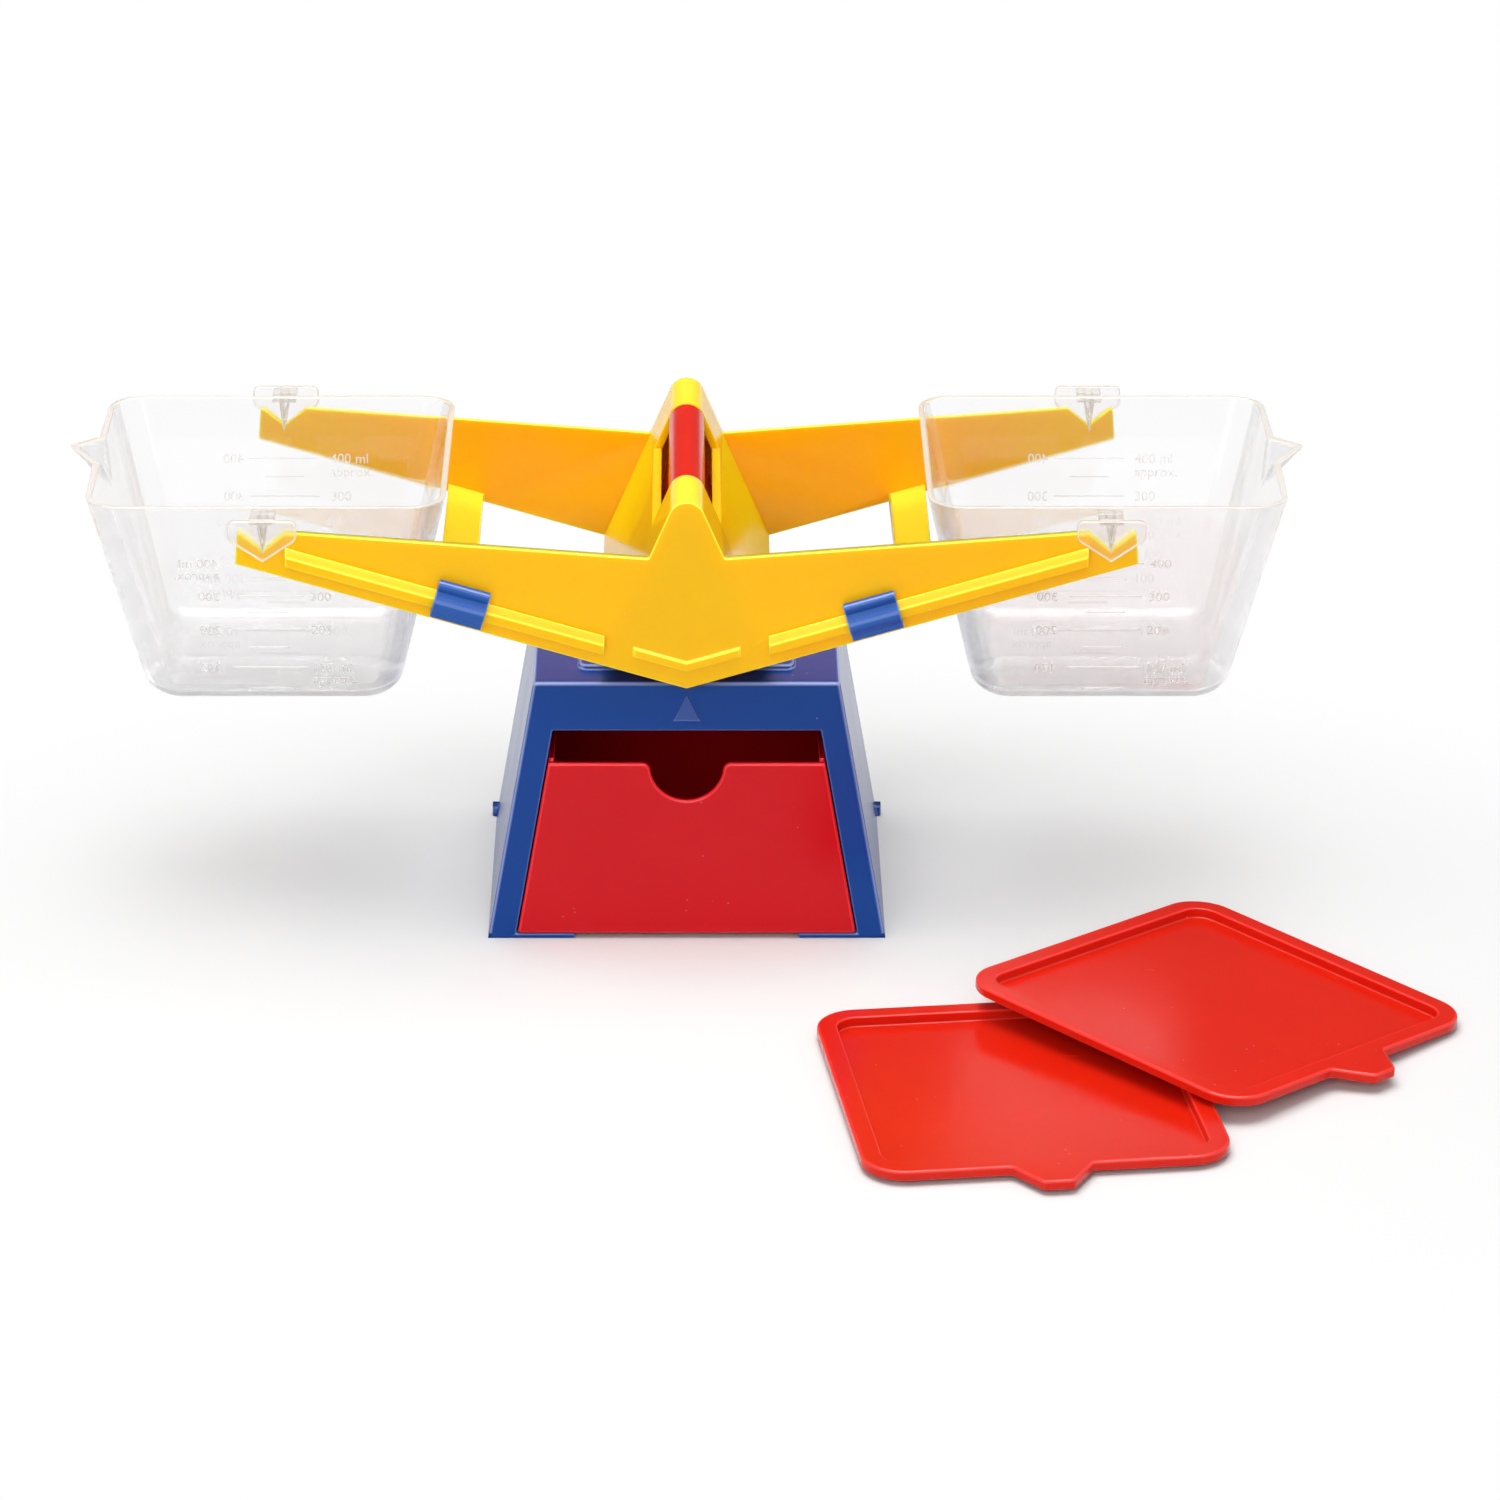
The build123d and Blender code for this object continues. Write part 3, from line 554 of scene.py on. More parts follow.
def closed_mesh(name, rings, marks, caps=(True, True), eye=None):
    """A mesh over a grid of rings, one after another, each a closed loop of the same number of
    points. Two neighbours make quads, whose attribute arris is that band's mark, and a capped end
    is a fan about its ring's middle, moved to the eye in X and Z where one is given."""
    rings = np.asarray(rings)
    rows, count = rings.shape[:2]
    here = np.arange(count)
    after = (here + 1) % count
    lower = (np.arange(rows - 1) * count)[:, None]
    quads = np.stack(
        [lower + here, lower + after, lower + count + after, lower + count + here], axis=-1
    ).reshape(-1, 4)
    points, faces = [rings.reshape(-1, 3)], quads.tolist()
    total = rows * count
    for capped, first, ring in ((caps[0], 0, rings[0]), (caps[1], total - count, rings[-1])):
        if capped:
            middle = ring.mean(0)
            if eye is not None:
                middle[[0, 2]] = eye
            points.append(middle[None])
            fan = np.stack([first + here, first + after, np.full(count, total)], axis=-1)
            faces += (fan[:, ::-1] if first == 0 else fan).tolist()
            total += 1
    shape = bpy.data.meshes.new(name)
    shape.from_pydata(np.vstack(points).tolist(), [], faces)
    shape.shade_smooth()
    values = np.zeros(len(faces), np.float32)
    values[: len(quads)] = np.repeat(marks, count)
    shape.attributes.new("arris", "FLOAT", "FACE").data.foreach_set("value", values)
    return shape


def quarter_round(radius):
    """A quarter round from a flat end to a side, as insets r (1 - sin t) and heights
    r (1 - cos t) for t from 0 to 90 degrees."""
    quarter = np.linspace(0, pi / 2, EDGE_STEPS)
    return radius * (1 - np.sin(quarter)), radius * (1 - np.cos(quarter))


def clip_reach(turns):
    """The clip's outer and inner outline as distances from its eye, at each turn.

    The outer one is the soft maximum of the rail's outline grown by the wall and the three
    rounds: s log(sum of exp(distance / s)). A line n.p = h is met at (h - n.eye) / n.way, and a
    round of radius r about c at way.c + sqrt(r^2 - c.c + (way.c)^2), with c seen from the eye.
    """
    way = np.stack([np.cos(turns), np.sin(turns)])
    edges = np.roll(RAIL_OUTLINE, -1, 0) - RAIL_OUTLINE
    normals = np.stack([edges[:, 1], -edges[:, 0]], 1) / np.linalg.norm(edges, axis=1)[:, None]
    height = ((RAIL_OUTLINE - CLIP_EYE) * normals).sum(1)
    facing = np.maximum(normals @ way, 1e-6)
    inner = ((height + RAIL_CLEARANCE)[:, None] / facing).min(0)
    grown = ((height + RAIL_CLEARANCE + CLIP_WALL)[:, None] / facing).min(0)
    reaches = [grown]
    for x, y, radius in CLIP_ROUNDS:
        centre = np.array((x, y)) - CLIP_EYE
        along = centre @ way
        inside = radius**2 - centre @ centre + along**2
        reaches.append(np.where((inside > 0) & (along > 0), along + np.sqrt(np.abs(inside)), 0))
    summed = np.exp((np.array(reaches) - grown) / CLIP_SOFTNESS).sum(0)
    return grown + CLIP_SOFTNESS * np.log(summed), inner


def clip(name):
    """A slider: a C-shaped ring, out along the outer outline and back along the inner one, carried
    along the rail, with round arrises at both ends and flat ends of quads between the outlines."""
    side = 1 if CLIP_REACHES[name] > 0 else -1
    gap = np.arccos((CLIP_OPENING - CLIP_EYE[0]) / CLIP_MOUTH)
    turns = np.linspace(-gap, gap, CLIP_STEPS)
    outer, inner = clip_reach(turns)
    way = np.stack([np.cos(turns), np.sin(turns)], 1)
    slope = np.arctan2(APEX_DROP - END_DROP, END_REACH)
    along = np.array((side * cos(slope), 0, sin(slope)))
    up = np.array((-side * sin(slope), 0, cos(slope)))
    reach = abs(CLIP_REACHES[name])
    foot = np.array((side * reach, PLATE_FACE, PIVOT_HEIGHT - APEX_DROP + reach * tan(slope)))
    foot += up * RAIL_LIFT
    inset, from_end = quarter_round(CLIP_ARRIS)
    start = from_end - CLIP_LENGTH / 2
    rings = []
    for eased, place in zip([*inset, *inset[::-1]], [*start, *-start[::-1]]):
        out = CLIP_EYE + way * (outer - eased)[:, None]
        back = CLIP_EYE + way[::-1] * (inner + eased)[::-1, None]
        ring = np.vstack([out, back])
        ring[:, 0] = np.maximum(ring[:, 0], CLIP_OPENING)
        rings.append(foot + ring[:, :1] * (0, -1, 0) + ring[:, 1:] * up + place * along)
    shape = closed_mesh(name + "_clip", rings, CLIP_PAINTED_HIGHLIGHTS, caps=(False, False))
    mesh = bmesh.new()
    mesh.from_mesh(shape)
    mesh.verts.ensure_lookup_table()
    for first in (0, (len(rings) - 1) * 2 * CLIP_STEPS):
        for step in range(CLIP_STEPS - 1):
            mirrored = 2 * CLIP_STEPS - 1 - step
            corners = [first + k for k in (step, step + 1, mirrored - 1, mirrored)]
            mesh.faces.new([mesh.verts[k] for k in corners]).smooth = True
    bmesh.ops.remove_doubles(mesh, verts=mesh.verts, dist=MERGE)
    bmesh.ops.recalc_face_normals(mesh, faces=mesh.faces)
    mesh.to_mesh(shape)
    mesh.free()
    piece = placed(name + "_clip", shape, name, slider_blue)
    evened(piece)
    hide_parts(name)


slider_blue = moulded_plastic(
    "slider_blue_polystyrene", SLIDER_BLUE, SLIDER_GLOSS, shine=SLIDER_SHINE
)
clip("slider_left")
clip("slider_right")

# Buckets: clear tapered tubs with a spout and two hangers each, injection moulded in
# styrene-acrylonitrile, with the graduations raised on their front and rear walls.
CLEAR = (0.975, 0.971, 0.973, 1)
RIM_PALE = (0.82, 0.76, 0.68, 1)
RIM_SHARE = 0.75
RIM_ROUGHNESS, RIM_CLARITY = 0.3, 0.3
CLEAR_IOR = 1.49
CLARITY, CLEAR_GLOSS = 0.98, 0.01
CLEAR_DULLING = (0.02, 0.05)
CLEAR_HAZE_GRAIN = 24.0
RUB_GRAIN, RUB_SPREAD, RUB_TURN, RUB_SHARE = 30.0, (1, 28, 1), 0.7, (0.68, 0.72)
CLEAR_STRENGTH, CLEAR_RELIEF = 0.06, 0.0006
FLOOR_SHADE, WALL_SHADE = (0.78, 0.78, 0.78, 1), (0.93, 0.93, 0.93, 1)
SHADE_HEIGHTS = (0.0750, 0.0850)
BENT_SHARE = 0.5


def clear_plastic(name, colour):
    """Clear plastic that bends what is seen through it, with a faintly uneven skin, and with pale
    arrises, where the attribute is above 0. The light that falls on matt surfaces goes straight
    through it, and they stand in a pale shadow, which is deeper under the tub's floor."""
    material, tree = new_material(name)
    place = tree.add("ShaderNodeTexCoord", out="Object")
    haze = cloud(tree, place, CLEAR_HAZE_GRAIN, 3.0)
    rubs = cloud(tree, place, RUB_GRAIN, 2.0, RUB_SPREAD, RUB_TURN).between(*RUB_SHARE)
    bump = tree.add(
        "ShaderNodeBump",
        sockets={"Strength": CLEAR_STRENGTH, "Distance": CLEAR_RELIEF, "Height": haze},
    )
    by_haze, by_rubs = CLEAR_DULLING
    glass = tree.add(
        "ShaderNodeBsdfPrincipled",
        sockets={
            "Base Color": colour, "Roughness": CLEAR_GLOSS + haze * by_haze + rubs * by_rubs,
            "Normal": bump, "IOR": CLEAR_IOR, "Transmission Weight": CLARITY,
        },
    )
    under, beside = (
        tree.add("ShaderNodeBsdfTransparent", sockets={"Color": shade})
        for shade in (FLOOR_SHADE, WALL_SHADE)
    )
    height = tree.add("ShaderNodeSeparateXYZ", sockets={0: place}, out="Z")
    passing = tree.add(
        "ShaderNodeMixShader", sockets={0: height.between(*SHADE_HEIGHTS), 1: under, 2: beside}
    )
    falling, matt = (
        tree.add("ShaderNodeLightPath", out=name) for name in ("Is Shadow Ray", "Diffuse Depth")
    )
    falling = tree.maths("MINIMUM", falling + matt, 1.0)
    straight = tree.add("ShaderNodeBsdfTransparent", sockets={"Color": colour})
    body = tree.add("ShaderNodeMixShader", sockets={0: BENT_SHARE, 1: straight, 2: glass})
    rim = tree.add(
        "ShaderNodeBsdfPrincipled",
        sockets={
            "Base Color": RIM_PALE, "Roughness": RIM_ROUGHNESS, "IOR": CLEAR_IOR,
            "Transmission Weight": RIM_CLARITY,
        },
    )
    rimmed = marked(tree) * RIM_SHARE
    body = tree.add("ShaderNodeMixShader", sockets={0: rimmed, 1: body, 2: rim})
    tree.add("ShaderNodeMixShader", sockets={0: falling, 1: body, 2: passing}).shown()
    return material


def rounded(corners, radii, steps, closed=True):
    """A path through corners in a plane, each replaced by an arc of its radius; the two ends of an
    open path stay as they are.

    With u and v the unit ways to a corner's neighbours, w half the angle between them and b the
    way of u + v, the arc's centre is r b / sin w from the corner. Its points lie r from there,
    turning evenly from u / tan w - b / sin w to v / tan w - b / sin w.
    """
    path, radius = np.asarray(corners, float), np.asarray(radii, float)
    before, after = np.roll(path, 1, 0), np.roll(path, -1, 0)
    if not closed:
        path, before, after = path[1:-1], before[1:-1], after[1:-1]
    u = (before - path) / np.linalg.norm(before - path, axis=1)[:, None]
    v = (after - path) / np.linalg.norm(after - path, axis=1)[:, None]
    half = np.arccos(np.clip((u * v).sum(1), -1, 1)) / 2
    b = (u + v) / np.maximum(np.linalg.norm(u + v, axis=1), 1e-9)[:, None]
    centre = path + b * (radius / np.sin(half))[:, None]
    start = u / np.tan(half)[:, None] - b / np.sin(half)[:, None]
    end = v / np.tan(half)[:, None] - b / np.sin(half)[:, None]
    turn = np.maximum(pi - 2 * half, 1e-6)[:, None]
    share = np.linspace(0, 1, steps)
    first = np.sin((1 - share) * turn) / np.sin(turn)
    second = np.sin(share * turn) / np.sin(turn)
    arc = first[..., None] * start[:, None] + second[..., None] * end[:, None]
    arc = (centre[:, None] + radius[:, None, None] * arc).reshape(-1, 2)
    return arc if closed else np.vstack([corners[0], arc, corners[-1]])


def drawn_in(corners, radii, inset, steps):
    """A rounded outline, anticlockwise, drawn in by an inset: each corner moves by
    inset (m + n) / (1 + m.n), m and n being its edges' inward normals, and its radius changes by
    the inset, down at an outward corner and up at an inward one."""
    corners = np.asarray(corners, float)
    way = np.roll(corners, -1, 0) - corners
    way /= np.linalg.norm(way, axis=1)[:, None]
    normal = np.stack([-way[:, 1], way[:, 0]], 1)
    last, last_way = np.roll(normal, 1, 0), np.roll(way, 1, 0)
    moved = corners + inset * (last + normal) / (1 + (last * normal).sum(1))[:, None]
    bend = np.sign(np.round(last_way[:, 0] * way[:, 1] - last_way[:, 1] * way[:, 0], 6))
    radius = np.where(bend == 0, 0, np.maximum(np.asarray(radii) - bend * inset, 1e-5))
    return rounded(moved, radius, steps)


def divided(path, longest):
    """The path with points added evenly, so that no step on it is longer than that."""
    steps = np.linalg.norm(np.diff(path, axis=0), axis=1)
    counts = np.maximum(np.ceil(steps / longest), 1).astype(int)
    parts = [
        start + (end - start) * np.linspace(0, 1, count, endpoint=False)[:, None]
        for start, end, count in zip(path, path[1:], counts)
    ]
    return np.vstack([*parts, path[-1:]])


def joined(name, shapes):
    """One mesh of several closed ones, with doubles merged and every face turned outward."""
    mesh = bmesh.new()
    for shape in shapes:
        mesh.from_mesh(shape)
        bpy.data.meshes.remove(shape)
    bmesh.ops.remove_doubles(mesh, verts=mesh.verts, dist=MERGE)
    bmesh.ops.recalc_face_normals(mesh, faces=mesh.faces)
    for face in mesh.faces:
        face.smooth = True
    whole = bpy.data.meshes.new(name)
    mesh.to_mesh(whole)
    mesh.free()
    return whole


AXIS_REACH = 0.1273
RIM_HEIGHT = 0.1421
FLOOR_HEIGHT = 0.0725
RIM_HALF = (0.0545, 0.0520)
LEAN = radians(13.0)
WALL = 0.0018 / cos(LEAN)
FLOOR = 0.0018
CORNER_RADIUS = 0.0112
FOOT_RADIUS = 0.0070
INNER_FOOT_RADIUS = 0.0048
FLOOR_INSET = 0.030
RIM_ROUND = 0.00045
ROUND_STEPS = 9
LONGEST_STEP = 0.0012
LEAST_RADIUS = 0.001
CORNER_STEPS = 16
SPOUT_STEPS = 45
SPOUT_HALF = 0.0125
SPOUT_REACH = 0.0084
SPOUT_DEPTH = 0.0105
SPOUT_LIFT = 0.0015
SPOUT_TIP = 0.0011
SPOUT_WIDER, SPOUT_CLOSER = 0.08, 0.0008
NOTCH_HEIGHT = 0.1308
GUARD_NEAR, GUARD_FAR = -0.0630, -0.0615
GUARD = np.array([(-10.4, 10.8), (-10.4, 4.7), (0, -2.3), (10.4, 4.7), (10.4, 10.8)]) * 0.001
GUARD_RADII = np.array([2.0, 3.0, 0.7, 3.0, 2.0]) * 0.001
BRIDGE = np.array([(-3.8, 9.0), (3.8, 9.0), (3.8, 10.8), (-3.8, 10.8)]) * 0.001
STEM = np.array([(-1.6, 8.98), (-0.3, 0.5), (0, 0.1), (0.3, 0.5), (1.6, 8.98), (1.0, 8.98),
                 (0, 3.5), (-1.0, 8.98)]) * 0.001
STEM_EYE = 0.0018
STEM_ROUND = 0.0001
HANGER_ROUND, HANGER_STEPS = 0.0004, 7
HANGER_MARKS = [1, 1, 1, 0.3, 1, 1, 1]
SEAM = 0.00002


def spout_push(y, z):
    """How far the wall is pushed out at the spout: the reach times the share s of the spout's
    depth that z is up it, less |y| reach / half, and never under 0. |y| is rounded at the tip."""
    up = np.clip((z - RIM_HEIGHT) / SPOUT_DEPTH + 1, 0, 1)
    beside = np.hypot(y, SPOUT_TIP) - SPOUT_TIP
    return np.maximum(0, SPOUT_REACH * up - beside * SPOUT_REACH / SPOUT_HALF)


def tub():
    """The tub without its hangers. A section, outer foot to rim to inner floor, is given as the
    inset from the leaning outer wall and the height, and each of its points makes a ring: a
    rounded rectangle of half size rim half - (rim height - z) tan lean - inset. On its inner
    side the spout is a little wider and less deep, as the wall goes round it."""
    section = rounded(
        [(FLOOR_INSET, FLOOR_HEIGHT), (0, FLOOR_HEIGHT), (0, RIM_HEIGHT), (WALL, RIM_HEIGHT),
         (WALL, FLOOR_HEIGHT + FLOOR), (FLOOR_INSET, FLOOR_HEIGHT + FLOOR)],
        [FOOT_RADIUS, RIM_ROUND, RIM_ROUND, INNER_FOOT_RADIUS], ROUND_STEPS, closed=False,
    )
    inset, z = divided(section, LONGEST_STEP).T
    wall = inset + (RIM_HEIGHT - z) * tan(LEAN)
    half_x, half_y = RIM_HALF[0] - wall, RIM_HALF[1] - wall
    radius = np.maximum(CORNER_RADIUS - inset, LEAST_RADIUS)
    y = np.linspace(-SPOUT_HALF, SPOUT_HALF, SPOUT_STEPS)
    y = y * np.minimum(1, (half_y - radius)[:, None] / SPOUT_HALF)
    x = np.broadcast_to(half_x[:, None], y.shape)
    height = np.broadcast_to(z[:, None], y.shape)
    thick = np.minimum(inset, WALL)[:, None] / WALL
    push = spout_push(y * (1 + SPOUT_WIDER * thick), height) - SPOUT_CLOSER * thick
    push = np.maximum(push, 0)
    height = height + SPOUT_LIFT * push / SPOUT_REACH
    spout = np.stack([x + push, y, height], -1)
    quarter = np.linspace(0, pi / 2, CORNER_STEPS)
    arcs = []
    for index, (side, front) in enumerate(((1, 1), (-1, 1), (-1, -1), (1, -1))):
        angle = quarter + index * pi / 2
        arc_x = side * (half_x - radius)[:, None] + radius[:, None] * np.cos(angle)
        arc_y = front * (half_y - radius)[:, None] + radius[:, None] * np.sin(angle)
        arcs.append(np.stack([arc_x, arc_y, np.broadcast_to(z[:, None], arc_x.shape)], -1))
    at_rim = (z[1:] + z[:-1]) / 2 > RIM_HEIGHT - RIM_ROUND
    return closed_mesh("tub", np.concatenate([spout, *arcs], axis=1), at_rim)


def slab(corners, radii, near, far, eye=None):
    """A rounded outline about the notch, carried along Y from near to far with round arrises. A
    near or far of None is the tub's leaning front wall."""
    rings = []
    for end, way in ((near, 1), (far, -1)):
        part = []
        for inset, step in zip(*quarter_round(HANGER_ROUND)):
            x, z = drawn_in(corners, radii, inset, HANGER_STEPS).T
            z = z + NOTCH_HEIGHT
            wall = -RIM_HALF[1] + (RIM_HEIGHT - z) * tan(LEAN) - SEAM
            part.append(np.stack([x, (wall if end is None else end) + way * step + 0 * x, z], 1))
        rings += part[::way]
    if eye is not None:
        eye = (0, NOTCH_HEIGHT + eye)
    return closed_mesh("slab", rings, HANGER_MARKS, eye=eye)


def bucket(name, middle, hand, material):
    """A bucket: the tub and two hangers, each a guard outside the beam's plate, a bridge over it
    and a knife stem between. The left bucket is the right one turned half round."""
    shapes = [tub()]
    for turn in (1, -1):
        hanger = [
            slab(GUARD, GUARD_RADII, GUARD_NEAR, GUARD_FAR),
            slab(BRIDGE, np.full(4, HANGER_ROUND), GUARD_FAR + SEAM, None),
            slab(STEM, np.full(8, STEM_ROUND), GUARD_FAR + SEAM, None, STEM_EYE),
        ]
        for shape in hanger:
            shape.transform(Matrix.Diagonal((turn, turn, 1, 1)))
        shapes += hanger
    shape = joined(name + "_tub", shapes)
    shape.transform(Matrix.Translation((middle, 0, 0)) @ Matrix.Diagonal((hand, hand, 1, 1)))
    piece = placed(name + "_tub", shape, name, material)
    evened(piece)
    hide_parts(name)


clear_styrene = clear_plastic("clear_styrene", CLEAR)
bucket("bucket_left", -AXIS_REACH, -1, clear_styrene)
bucket("bucket_right", AXIS_REACH, 1, clear_styrene)

# Graduations: a ladder of lines and a column of numbers on each side of it, raised on the front
# wall of each bucket and turned half round on its rear wall. The left column reads from inside.
RELIEF = 0.00025
WALL_GAP = 0.00002
LINE_WIDTH = 0.00042
LINE_TOP, LINE_END = 0.6, 0.25
LETTER_SIZE, LETTER_MIDDLE = 0.0044, 0.33
LETTER_STEPS = 3
LADDER = (
    (0.0779, 0.0062), (0.0856, 0.0111), (0.0927, 0.0062), (0.0991, 0.0111),
    (0.1053, 0.0062), (0.1109, 0.0111), (0.1169, 0.0062), (0.1226, 0.0111),
)
RIGHT_COLUMN = (("100 ml", 0.0854), ("approx.", 0.0813), ("200", 0.0990), ("300", 0.1108),
                ("400", 0.1225))
LEFT_COLUMN = (("400 ml", 0.1225), ("approx.", 0.1184), ("300", 0.1108), ("200", 0.0990),
               ("100", 0.0854))
RIGHT_COLUMN_START = 0.0128
LEFT_COLUMN_START = -0.0145
FROST = (0.93, 0.92, 0.91, 1)
FROST_GRAIN, FROST_ROUGHNESS, FROST_UNEVEN = 900.0, 0.35, 0.2
FROST_CLARITY = 0.55


def lettering(words):
    """A line of raised letters as points (x to the right, y up from the middle of the line, z
    from 0 at the back to the relief) and faces."""
    drawn = bpy.data.curves.new("letters", "FONT")
    drawn.body, drawn.size, drawn.extrude = words, LETTER_SIZE, RELIEF / 2
    drawn.resolution_u = LETTER_STEPS
    holder = bpy.data.objects.new("letters", drawn)
    shape = bpy.data.meshes.new_from_object(holder)
    points = np.empty(3 * len(shape.vertices))
    shape.vertices.foreach_get("co", points)
    points = points.reshape(-1, 3) + (0, -LETTER_MIDDLE * LETTER_SIZE, RELIEF / 2)
    faces = [tuple(face.vertices) for face in shape.polygons]
    bpy.data.objects.remove(holder)
    bpy.data.meshes.remove(shape)
    return points, faces


def bar(half, width):
    """A raised line with sloped flanks: its four lower corners at (+-half, +-width / 2), and four
    upper ones at LINE_TOP of the width and drawn in by LINE_END of the width at each end."""
    low = np.array([(-1, -1, 0), (1, -1, 0), (1, 1, 0), (-1, 1, 0)], float)
    low *= (half, width / 2, 1)
    high = low * (1 - LINE_END * width / half, LINE_TOP, 1) + (0, 0, RELIEF)
    faces = [(3, 2, 1, 0), (4, 5, 6, 7)]
    faces += [(k, (k + 1) % 4, (k + 1) % 4 + 4, k + 4) for k in range(4)]
    return np.vstack([low, high]), faces


def on_wall(points, height):
    """Points drawn flat, laid on the bucket's front wall about a height: y runs up the wall's
    slope, and z stands out of it."""
    up = np.array((0, -sin(LEAN), cos(LEAN)))
    out = np.array((0, -cos(LEAN), -sin(LEAN)))
    foot = np.array((0, -RIM_HALF[1] + (RIM_HEIGHT - height) * tan(LEAN), height))
    across = points[:, :1] * (1, 0, 0)
    return foot + across + points[:, 1:2] * up + (points[:, 2:] + WALL_GAP) * out


def graduations(name, body, middle, material):
    """The ladder and both columns on the front and rear walls of a bucket, as one mesh."""
    drawn = [(*bar(half, LINE_WIDTH), 0, 1, height) for height, half in LADDER]
    drawn += [(*lettering(words), RIGHT_COLUMN_START, 1, height)
              for words, height in RIGHT_COLUMN]
    drawn += [(*lettering(words), LEFT_COLUMN_START, -1, height)
              for words, height in LEFT_COLUMN]
    points, faces, count = [], [], 0
    for shape, sides, start, hand, height in drawn:
        front = on_wall(shape * (hand, 1, 1) + (start, 0, 0), height)
        for wall in (front, front * (-1, -1, 1)):
            points.append(wall + (middle, 0, 0))
            faces += [tuple(corner + count for corner in face[::hand]) for face in sides]
            count += len(wall)
    mesh = bpy.data.meshes.new(name)
    mesh.from_pydata(np.vstack(points).tolist(), [], faces)
    placed(name, mesh, body, material)


frosted_styrene, tree = new_material("frosted_styrene")
place = tree.add("ShaderNodeTexCoord", out="Object")
frost = cloud(tree, place, FROST_GRAIN, 2.0)
tree.add(
    "ShaderNodeBsdfPrincipled",
    sockets={
        "Base Color": FROST, "Roughness": FROST_ROUGHNESS + frost * FROST_UNEVEN,
        "IOR": CLEAR_IOR, "Transmission Weight": FROST_CLARITY,
    },
).shown()
graduations("graduations_left", "bucket_left", -AXIS_REACH, frosted_styrene)
graduations("graduations_right", "bucket_right", AXIS_REACH, frosted_styrene)

# Lids: two flanged plates in the warmer red with a sunk middle, which press on to the buckets'
# rims. They lie on the table, one leaning on the other.
LID_HALF = (0.0560, 0.0535)
LID_CORNER = 0.0125
TAB_REACH = 0.0108
TAB_HALF, TAB_TIP_HALF = 0.0118, 0.0044
TAB_RADIUS = 0.0020
LID_STEPS, BEND_STEPS = 14, 7
PLUG_INSET, SUNK_INSET = 0.0045, 0.0061
FLANGE_LOW, FLANGE_TOP, FLANGE_UNDER = 0.0017, 0.0047, 0.0032
LIP_WIDTH = 0.0012
PANEL_TOP = 0.0015
PLUG_SECTION = ((0.0062, 0), (PLUG_INSET, 0), (PLUG_INSET, FLANGE_UNDER))
PLUG_RADII = (0.0004,)
FLANGE_SECTION = ((LIP_WIDTH, FLANGE_UNDER), (LIP_WIDTH, FLANGE_LOW), (0, FLANGE_LOW),
                  (0, FLANGE_TOP), (0.0016, FLANGE_TOP))
FLANGE_RADII = (0.0002, 0.0003, 0.0008)
PANEL_SECTION = ((0.0054, FLANGE_TOP), (SUNK_INSET, FLANGE_TOP), (SUNK_INSET, PANEL_TOP),
                 (0.0072, PANEL_TOP))
PANEL_RADII = (0.0005, 0.0004)
LID_TURNS = {"lid_lower": -83.0, "lid_upper": -46.5}
LID_PLACES = {"lid_lower": (0.0973, -0.1641), "lid_upper": (0.1586, -0.1125)}
LEAN_GAP = 0.0003
# LID_GLINT marks the lids' round corners for a painted highlight.
LID_GLINT, LID_SCRATCH = 0.35, 0.4


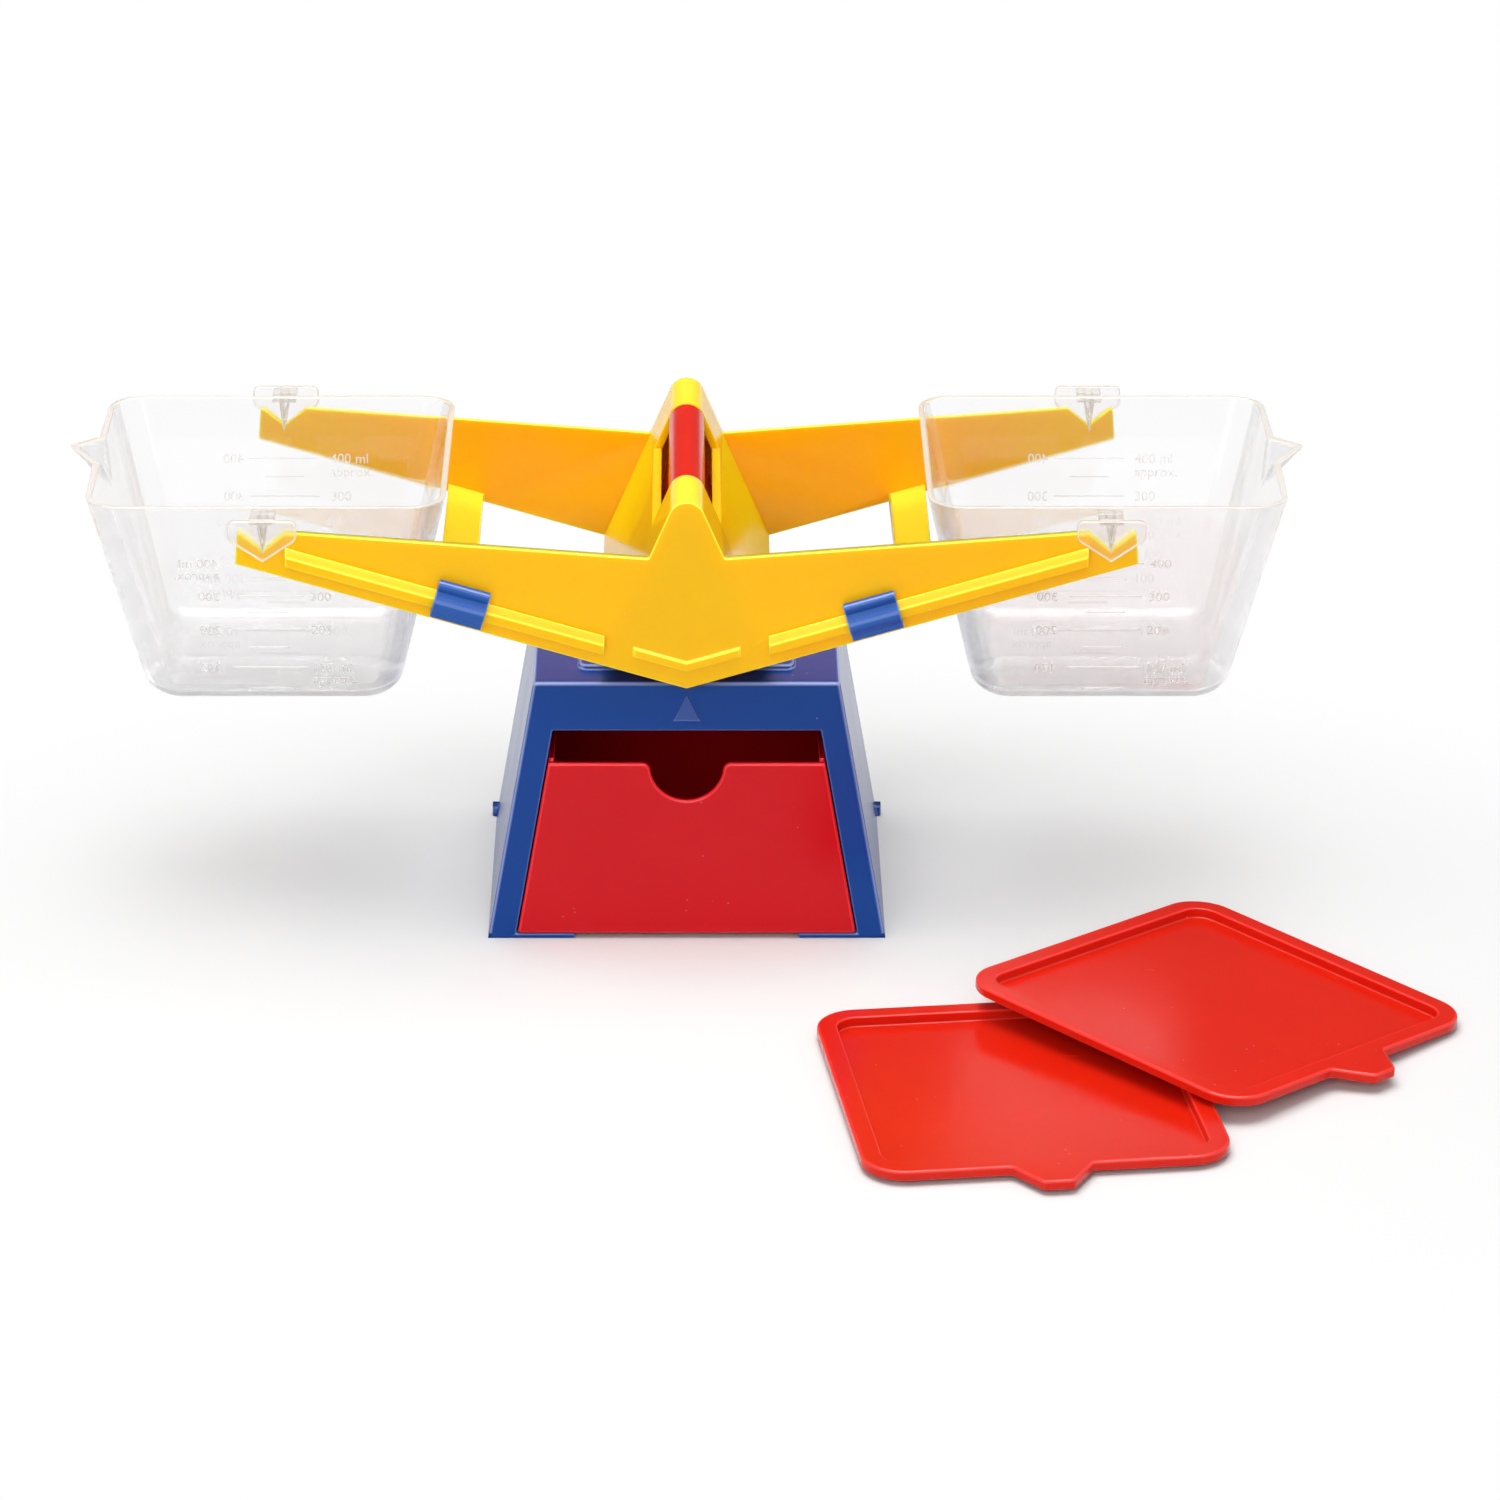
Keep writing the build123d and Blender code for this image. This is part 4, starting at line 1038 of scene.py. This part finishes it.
def lid_rings(section, radii, tab):
    """The rings of a lid along a section, which is given as insets and heights, and the marks of
    the bands before them, LID_GLINT, a painted highlight, on its round corners. With tab 1 the
    rings have the tab, and with tab 0 its four corners lie on the straight side."""
    root, side = LID_HALF
    reach = root + tab * TAB_REACH
    outline = [
        (root, -side), (root, -TAB_HALF), (reach, -TAB_TIP_HALF), (reach, TAB_TIP_HALF),
        (root, TAB_HALF), (root, side), (-root, side), (-root, -side),
    ]
    bends = np.array([LID_CORNER, *4 * [TAB_RADIUS], *3 * [LID_CORNER]])
    rings = []
    for inset, height in rounded(section, radii, BEND_STEPS, closed=False):
        flat = drawn_in(outline, bends, inset, LID_STEPS)
        rings.append(np.column_stack([flat, np.full(len(flat), height)]))
    return rings, [0] + len(radii) * ([0] + (BEND_STEPS - 1) * [LID_GLINT]) + [0]


def lid(name, material):
    """A lid, its plug down: the plug's foot, the channel under the flange, the flange's round
    edge with the tab, the rim of the sunk panel and the panel. It is turned about Z and put in
    its place, and the upper one leans back over the lower one's long edge."""
    rings, marks = [], []
    for section, radii, tab in ((PLUG_SECTION, PLUG_RADII, 0), (FLANGE_SECTION, FLANGE_RADII, 1),
                                (PANEL_SECTION, PANEL_RADII, 0)):
        part, bands = lid_rings(section, radii, tab)
        rings += part
        marks += bands
    shape = joined(name + "_plate", [closed_mesh("plate", rings, marks[1:])])
    turns = {key: radians(turn) for key, turn in LID_TURNS.items()}
    shape.transform(Matrix.Rotation(turns[name], 4, "Z"))
    rise = 0.0
    if name == "lid_upper":
        lower = turns["lid_lower"]
        across, axis = np.array((-sin(lower), cos(lower))), Vector((cos(lower), sin(lower), 0))
        foot = np.subtract(LID_HALF, PLUG_INSET)
        c, s = cos(turns[name]), sin(turns[name])
        foot = np.array((c * foot[0] - s * foot[1], s * foot[0] + c * foot[1]))
        edge = np.add(LID_PLACES["lid_lower"], across * LID_HALF[1])
        run = (foot + LID_PLACES[name] - edge) @ across
        shape.transform(Matrix.Rotation(-np.arcsin((FLANGE_TOP + LEAN_GAP) / run), 4, axis))
        rise = -min(corner.co.z for corner in shape.vertices)
    shape.transform(Matrix.Translation((*LID_PLACES[name], rise)))
    piece = placed(name + "_plate", shape, name, material)
    evened(piece)
    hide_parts(name)


lid_red = moulded_plastic(
    "lid_red_polystyrene", WARM_RED, scratch=LID_SCRATCH, depth=WARM_DEPTH
)
lid("lid_lower", lid_red)
lid("lid_upper", lid_red)
